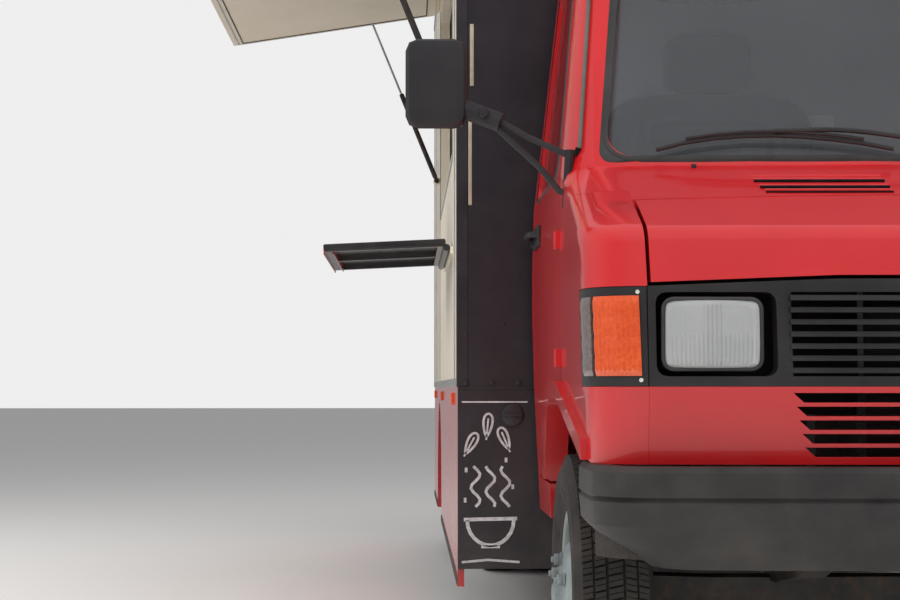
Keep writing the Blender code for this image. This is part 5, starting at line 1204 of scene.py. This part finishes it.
middle_x, low = -1.092, 0.375
bowl_line = [(middle_x + 0.070 * math.cos(math.radians(angle)),
              low + 0.085 + 0.075 * math.sin(math.radians(angle)))
             for angle in range(180, 361, 15)]
drawn = [chalk_line(bowl_line),
         chalk_line([(middle_x - 0.080, low + 0.087), (middle_x + 0.080, low + 0.090)]),
         chalk_line([(middle_x - 0.028, low + 0.006), (middle_x + 0.028, low + 0.006)], 0.005)]
for index in range(3):
    start_x = middle_x - 0.045 + 0.045 * index
    wave = [(start_x + 0.014 * math.sin(step * 0.9 + index), low + 0.125 + 0.011 * step)
            for step in range(12)]
    drawn.append(chalk_line(wave, 0.005))
for leaf_x, leaf_z, lean in ((-1.150, 0.690, 0.5), (-1.050, 0.705, -0.4), (-1.100, 0.745, 0.1)):
    leaf = []
    for step in range(17):
        angle = 2 * math.pi * step / 16
        along, wide = 0.034 * math.cos(angle), 0.013 * math.sin(angle) * (1 + 0.4 * math.cos(angle))
        leaf.append((leaf_x + along * math.sin(lean) + wide * math.cos(lean),
                     leaf_z + along * math.cos(lean) - wide * math.sin(lean)))
    drawn.append(chalk_line(leaf[:-1], 0.004, closed=True))
    drawn.append(chalk_line([(leaf_x - 0.045 * math.sin(lean), leaf_z - 0.045 * math.cos(lean)),
                             (leaf_x + 0.020 * math.sin(lean), leaf_z + 0.020 * math.cos(lean))], 0.003))
for dot_x, dot_z in ((-1.165, 0.61), (-1.045, 0.64), (-1.025, 0.56), (-1.168, 0.52)):
    drawn.append(chalk_line([(dot_x - 0.004, dot_z), (dot_x + 0.004, dot_z)], 0.008))
drawn.append(chalk_line([(-1.178, 0.335), (-1.10, 0.342), (-1.005, 0.335)], 0.004))
drawn.append(chalk_line([(-1.178, 0.814), (-0.98, 0.814)], 0.0025))
motif = joined("chalk_motif_right", *drawn)
paint_y = on_truck(0, WALL_Y, 0).y - 0.0012
for point in motif.data.vertices:
    point.co.y = max(point.co.y, paint_y)
fit_pair(motif, "chassis", CHALK, "cream_panel")
cap = joined("filler_cap",
             bar("cap", (-1.026, WALL_Y + 0.001, 0.775), (-1.026, WALL_Y - 0.020, 0.775), 0.034, 32, 0.006),
             block("grip", (-1.056, WALL_Y - 0.028, 0.770), (-0.996, WALL_Y - 0.018, 0.780), 0.003))
fit(cap, "chassis", DARK_TRIM, "black_plastic")


# The box is clad in flat coated sheet, cream. Aluminium strips cover its joints and line the hatch's
# opening, and a rounded rail finishes the roof. Its lower skirts are red, with a rubber lower edge.
CREAM_PANEL = worn_finish("cream_panel", (0.80, 0.71, 0.56), (0.86, 0.78, 0.64), 3.5, 220.0, 0.0003, 0.40,
                          0.35, 1.4, Coat_Weight=0.2, Coat_Roughness=0.2)
ALUMINIUM = worn_finish("aluminium_trim", (0.42, 0.42, 0.42), (0.58, 0.58, 0.57), 12.0, 420.0, 0.0004, 0.34,
                        0.2, 1.2, Metallic=0.85)
dress(CREAM_PANEL, "box_left_wall", "box_right_wall", "box_rear_wall", "box_roof")
joints = []
for side, places in ((-1, (2.02, 4.40, 4.90, 5.40)), (1, (2.40, 3.10, 3.80, 4.50, 5.20))):
    joints += [block("joint", (side * 1.193, y, 0.865), (side * 1.190, y + 0.030, 2.855), 0.001, 1)
               for y in places]
    joints += [block("edge", (side * 1.194, y, 0.862), (side * 1.190, y + 0.032, 2.868), 0.0012, 1)
               for y in (1.752, 5.886)]
    joints.append(block("lower_rail", (side * 1.195, 1.752, 0.858), (side * 1.190, 5.918, 0.885), 0.0015, 1))
    joints.append(block("upper_rail", (side * 1.197, 1.722, 2.855), (side * 1.188, 5.918, 2.885), 0.004, 3))
for low, high in (((-1.193, 2.252, 1.620), (-1.190, 4.248, 1.637)),
                  ((-1.193, 2.254, 1.620), (-1.190, 2.270, 2.60)),
                  ((-1.193, 4.230, 1.620), (-1.190, 4.246, 2.60))):
    joints.append(block("hatch_frame", low, high, 0.001, 1))
fit(joined("aluminium_trims", *joints), "chassis", ALUMINIUM, "zinc_steel")
lips = [block("lip", (side * 1.186, start, 0.262), (side * 1.193, end, 0.290), 0.003)
        for side in (-1, 1) for start, end in ((1.745, 4.125), (5.015, 5.915))]
fit(joined("skirt_edges", *lips), "chassis", SEAL_RUBBER, "black_plastic")


# Each rear twin wheel runs under a rolled black plastic mudguard with a turned edge.
GUARD_Z, GUARD_RADIUS = 0.347, 0.423
for side, name in ((-1, "right"), (1, "left")):
    arch = [(REAR_AXLE_Y - GUARD_RADIUS * math.cos(math.radians(turn)),
             GUARD_Z + GUARD_RADIUS * math.sin(math.radians(turn)))
            for turn in range(8, 173, 6)]
    rows = [[(side * x, y, z - drop) for y, z in arch]
            for x, drop in ((0.570, 0.012), (0.576, 0.0), (1.158, 0.0), (1.168, 0.004))]
    guard = quilt("mudguard_" + name, rows)
    apply_modifier(guard, "SOLIDIFY", thickness=0.003)
    fit(guard, "chassis", BLACK_PLASTIC, "black_plastic", smooth=50)


# The hatch flap is a cream panel in an aluminium frame with a rubber seal round its inner face, held
# open by gas struts.
skin_of("hatch_flap", "hatch_flap", CREAM_PANEL, "cream_panel", edge=0.003)
FLAP_HINGE = (-1.21, 2.575)
FLAP_TILT = math.radians(81)


def on_flap(along, y, off):
    """A place on the open flap: distance from its hinge, place along the truck, and height off its middle."""
    down, out = math.cos(FLAP_TILT), math.sin(FLAP_TILT)
    return (FLAP_HINGE[0] - along * out + off * down, y, FLAP_HINGE[1] - along * down - off * out)


flap_seal = [on_flap(along, y, 0.0140)
             for along, y in ((0.05, 2.31), (0.895, 2.31), (0.895, 4.19), (0.05, 4.19))]
flap_seal = tube("flap_seal", flap_seal, 0.0045, closed=True)
fit(flap_seal, "hatch_flap", SEAL_RUBBER, "black_plastic")
FRAME_CORNERS = ((0.020, 2.284), (0.915, 2.284), (0.915, 4.216), (0.020, 4.216))
frame_bars = [tube("frame_bar", [on_flap(*corner, 0.0095) for corner in ends], 0.007, sides=2)
              for ends in zip(FRAME_CORNERS, FRAME_CORNERS[1:])]
fit(joined("flap_frame", *frame_bars), "hatch_flap", ALUMINIUM, "zinc_steel")


# The serving shelf is a thin dark top on a frame of square bar, with a red edge band at its open end.
SHELF_BLACK = worn_finish("shelf_black", (0.012, 0.010, 0.012), (0.026, 0.023, 0.026), 12.0, 420.0, 0.0005,
                          0.30, 0.1, 1.0, Coat_Weight=0.2, Coat_Roughness=0.15)
skin_of("counter_shelf", "counter_shelf", SHELF_BLACK, "black_panel", edge=0.0015)
DROOP = math.radians(2.75)
SHELF_REACH = 0.4135
outer_x, outer_z = -1.21 - SHELF_REACH * math.cos(DROOP), 1.33 - SHELF_REACH * math.sin(DROOP)
ends = [block("edge_band", (outer_x - 0.0025, 2.302, outer_z - 0.006),
              (outer_x + 0.001, 3.198, outer_z + 0.020), 0.001, 1),
        block("edge_band", (outer_x + 0.0285, 2.330, outer_z - 0.003),
              (outer_x + 0.0320, 3.170, outer_z + 0.022), 0.001, 1)]
fit(joined("shelf_edge", *ends), "counter_shelf", RED_PAINT, "red_paint")


# The kitchen is built of brushed stainless cabinets: worktops with a rolled edge, doors and drawers with
# bar handles, a griddle and a fryer with two baskets.
BRUSHED_STEEL = worn_finish("brushed_steel", (0.40, 0.41, 0.42), (0.56, 0.57, 0.58), 10.0, 380.0, 0.0004,
                            0.30, 0.0, Metallic=0.9)
dress(BRUSHED_STEEL, "kitchen_counters", "strut_rod_front", "strut_rod_rear")
fronts = []
handles = []
BENCH_X, SERVING_X = 0.50, -0.62


def grip(face_x, out, start_y, end_y, z):
    """A bar handle in front of a door or drawer."""
    return tube("handle", [(face_x, start_y, z), (face_x + out, start_y + 0.005, z),
                           (face_x + out, end_y - 0.005, z), (face_x, end_y, z)], 0.005)


for step in range(6):
    start_y = 2.40 + 0.42 * step
    for low, high in ((0.96, 1.42), (1.435, 1.575)):
        near, far = (BENCH_X - 0.008, start_y, low), (BENCH_X + 0.002, start_y + 0.40, high)
        fronts.append(block("front", near, far, 0.003))
    handles.append(grip(BENCH_X - 0.004, -0.026, start_y + 0.10, start_y + 0.30, 1.505))
for step in range(4):
    start_y = 2.40 + 0.45 * step
    near, far = (SERVING_X - 0.002, start_y, 0.96), (SERVING_X + 0.008, start_y + 0.43, 1.57)
    fronts.append(block("front", near, far, 0.003))
    handles.append(grip(SERVING_X + 0.004, 0.026, start_y + 0.12, start_y + 0.31, 1.50))
tops = [block("top_right", (-1.148, 1.79, 1.598), (-0.600, 4.31, 1.612), 0.005, 3),
        block("top_left", (0.480, 1.79, 1.598), (1.148, 5.01, 1.612), 0.005, 3),
        block("top_link", (-0.62, 1.79, 1.598), (0.50, 2.36, 1.612), 0.005, 3)]
cookers = [block("griddle", (0.66, 3.95, 1.610), (1.10, 4.60, 1.70), 0.010, 3),
           block("fryer", (0.66, 2.60, 1.610), (1.10, 3.20, 1.75), 0.010, 3),
           block("fryer_basket", (0.72, 2.65, 1.745), (0.88, 3.15, 1.79), 0.006, 2),
           block("fryer_basket", (0.91, 2.65, 1.745), (1.07, 3.15, 1.79), 0.006, 2),
           block("back_plate", (1.135, 1.80, 1.61), (1.148, 5.00, 2.05), 0.002)]
fit(joined("kitchen_fronts", *fronts, *handles), "chassis", BRUSHED_STEEL, "zinc_steel")
fit(joined("worktops", *tops), "chassis", BRUSHED_STEEL, "zinc_steel")
fit(joined("cookers", *cookers), "chassis", BRUSHED_STEEL, "zinc_steel")


# The rear door is a cream panel with a rubber seal; below it a black bumper carries the lamps and a
# blank plate. Small amber markers stand along the box.
skin_of("rear_door", "rear_door", CREAM_PANEL, "cream_panel", edge=0.003)
door_rim = tube("rear_door_seal", [(-0.412, 5.922, 0.940), (0.412, 5.922, 0.940), (0.412, 5.922, 2.710),
                                   (-0.412, 5.922, 2.710)], 0.004, closed=True)
fit(door_rim, "rear_door", SEAL_RUBBER, "black_plastic")
skin_of("rear_bumper", "chassis", BLACK_PLASTIC, "black_plastic", edge=0.005, steps=2)
RED_LENS = coloured_lens("red_lens", (0.42, 0.006, 0.006), (0.70, 0.020, 0.016))
lamps = {"red": [], "amber": []}
for side in (-1, 1):
    for kind, near, far in (("red", 0.86, 0.94), ("amber", 0.945, 1.005)):
        lamps[kind].append(block("rear_lamp", (side * near, 5.925, 0.70), (side * far, 5.955, 0.80),
                                 0.008, 3))
fit(joined("rear_lamps_red", *lamps["red"]), "chassis", RED_LENS, "amber_lens")
fit(joined("rear_lamps_amber", *lamps["amber"]), "chassis", AMBER_LENS, "amber_lens")
backs = [block("lamp_back", (side * 0.845, 5.80, 0.685), (side * 1.02, 5.930, 0.815), 0.004)
         for side in (-1, 1)]
fit(joined("lamp_backs", *backs), "chassis", BLACK_PLASTIC, "black_plastic")
plate = block("blank_plate", (-0.26, 6.0185, 0.495), (0.26, 6.0199, 0.605), 0.0)
fit(plate, "chassis", PALE_BOARD, "cream_panel")
markers = [block("marker", (side * 1.10 - 0.03, 1.712, 2.79), (side * 1.10 + 0.03, 1.720, 2.82), 0.003)
           for side in (-1, 1)]
markers += [block("marker", (near, y, 0.80), (far, y + 0.07, 0.84), 0.003)
            for near, far in ((-1.199, -1.189), (1.189, 1.199)) for y in (2.2, 3.9, 5.5)]
fit(joined("marker_lamps", *markers), "chassis", AMBER_LENS, "amber_lens")
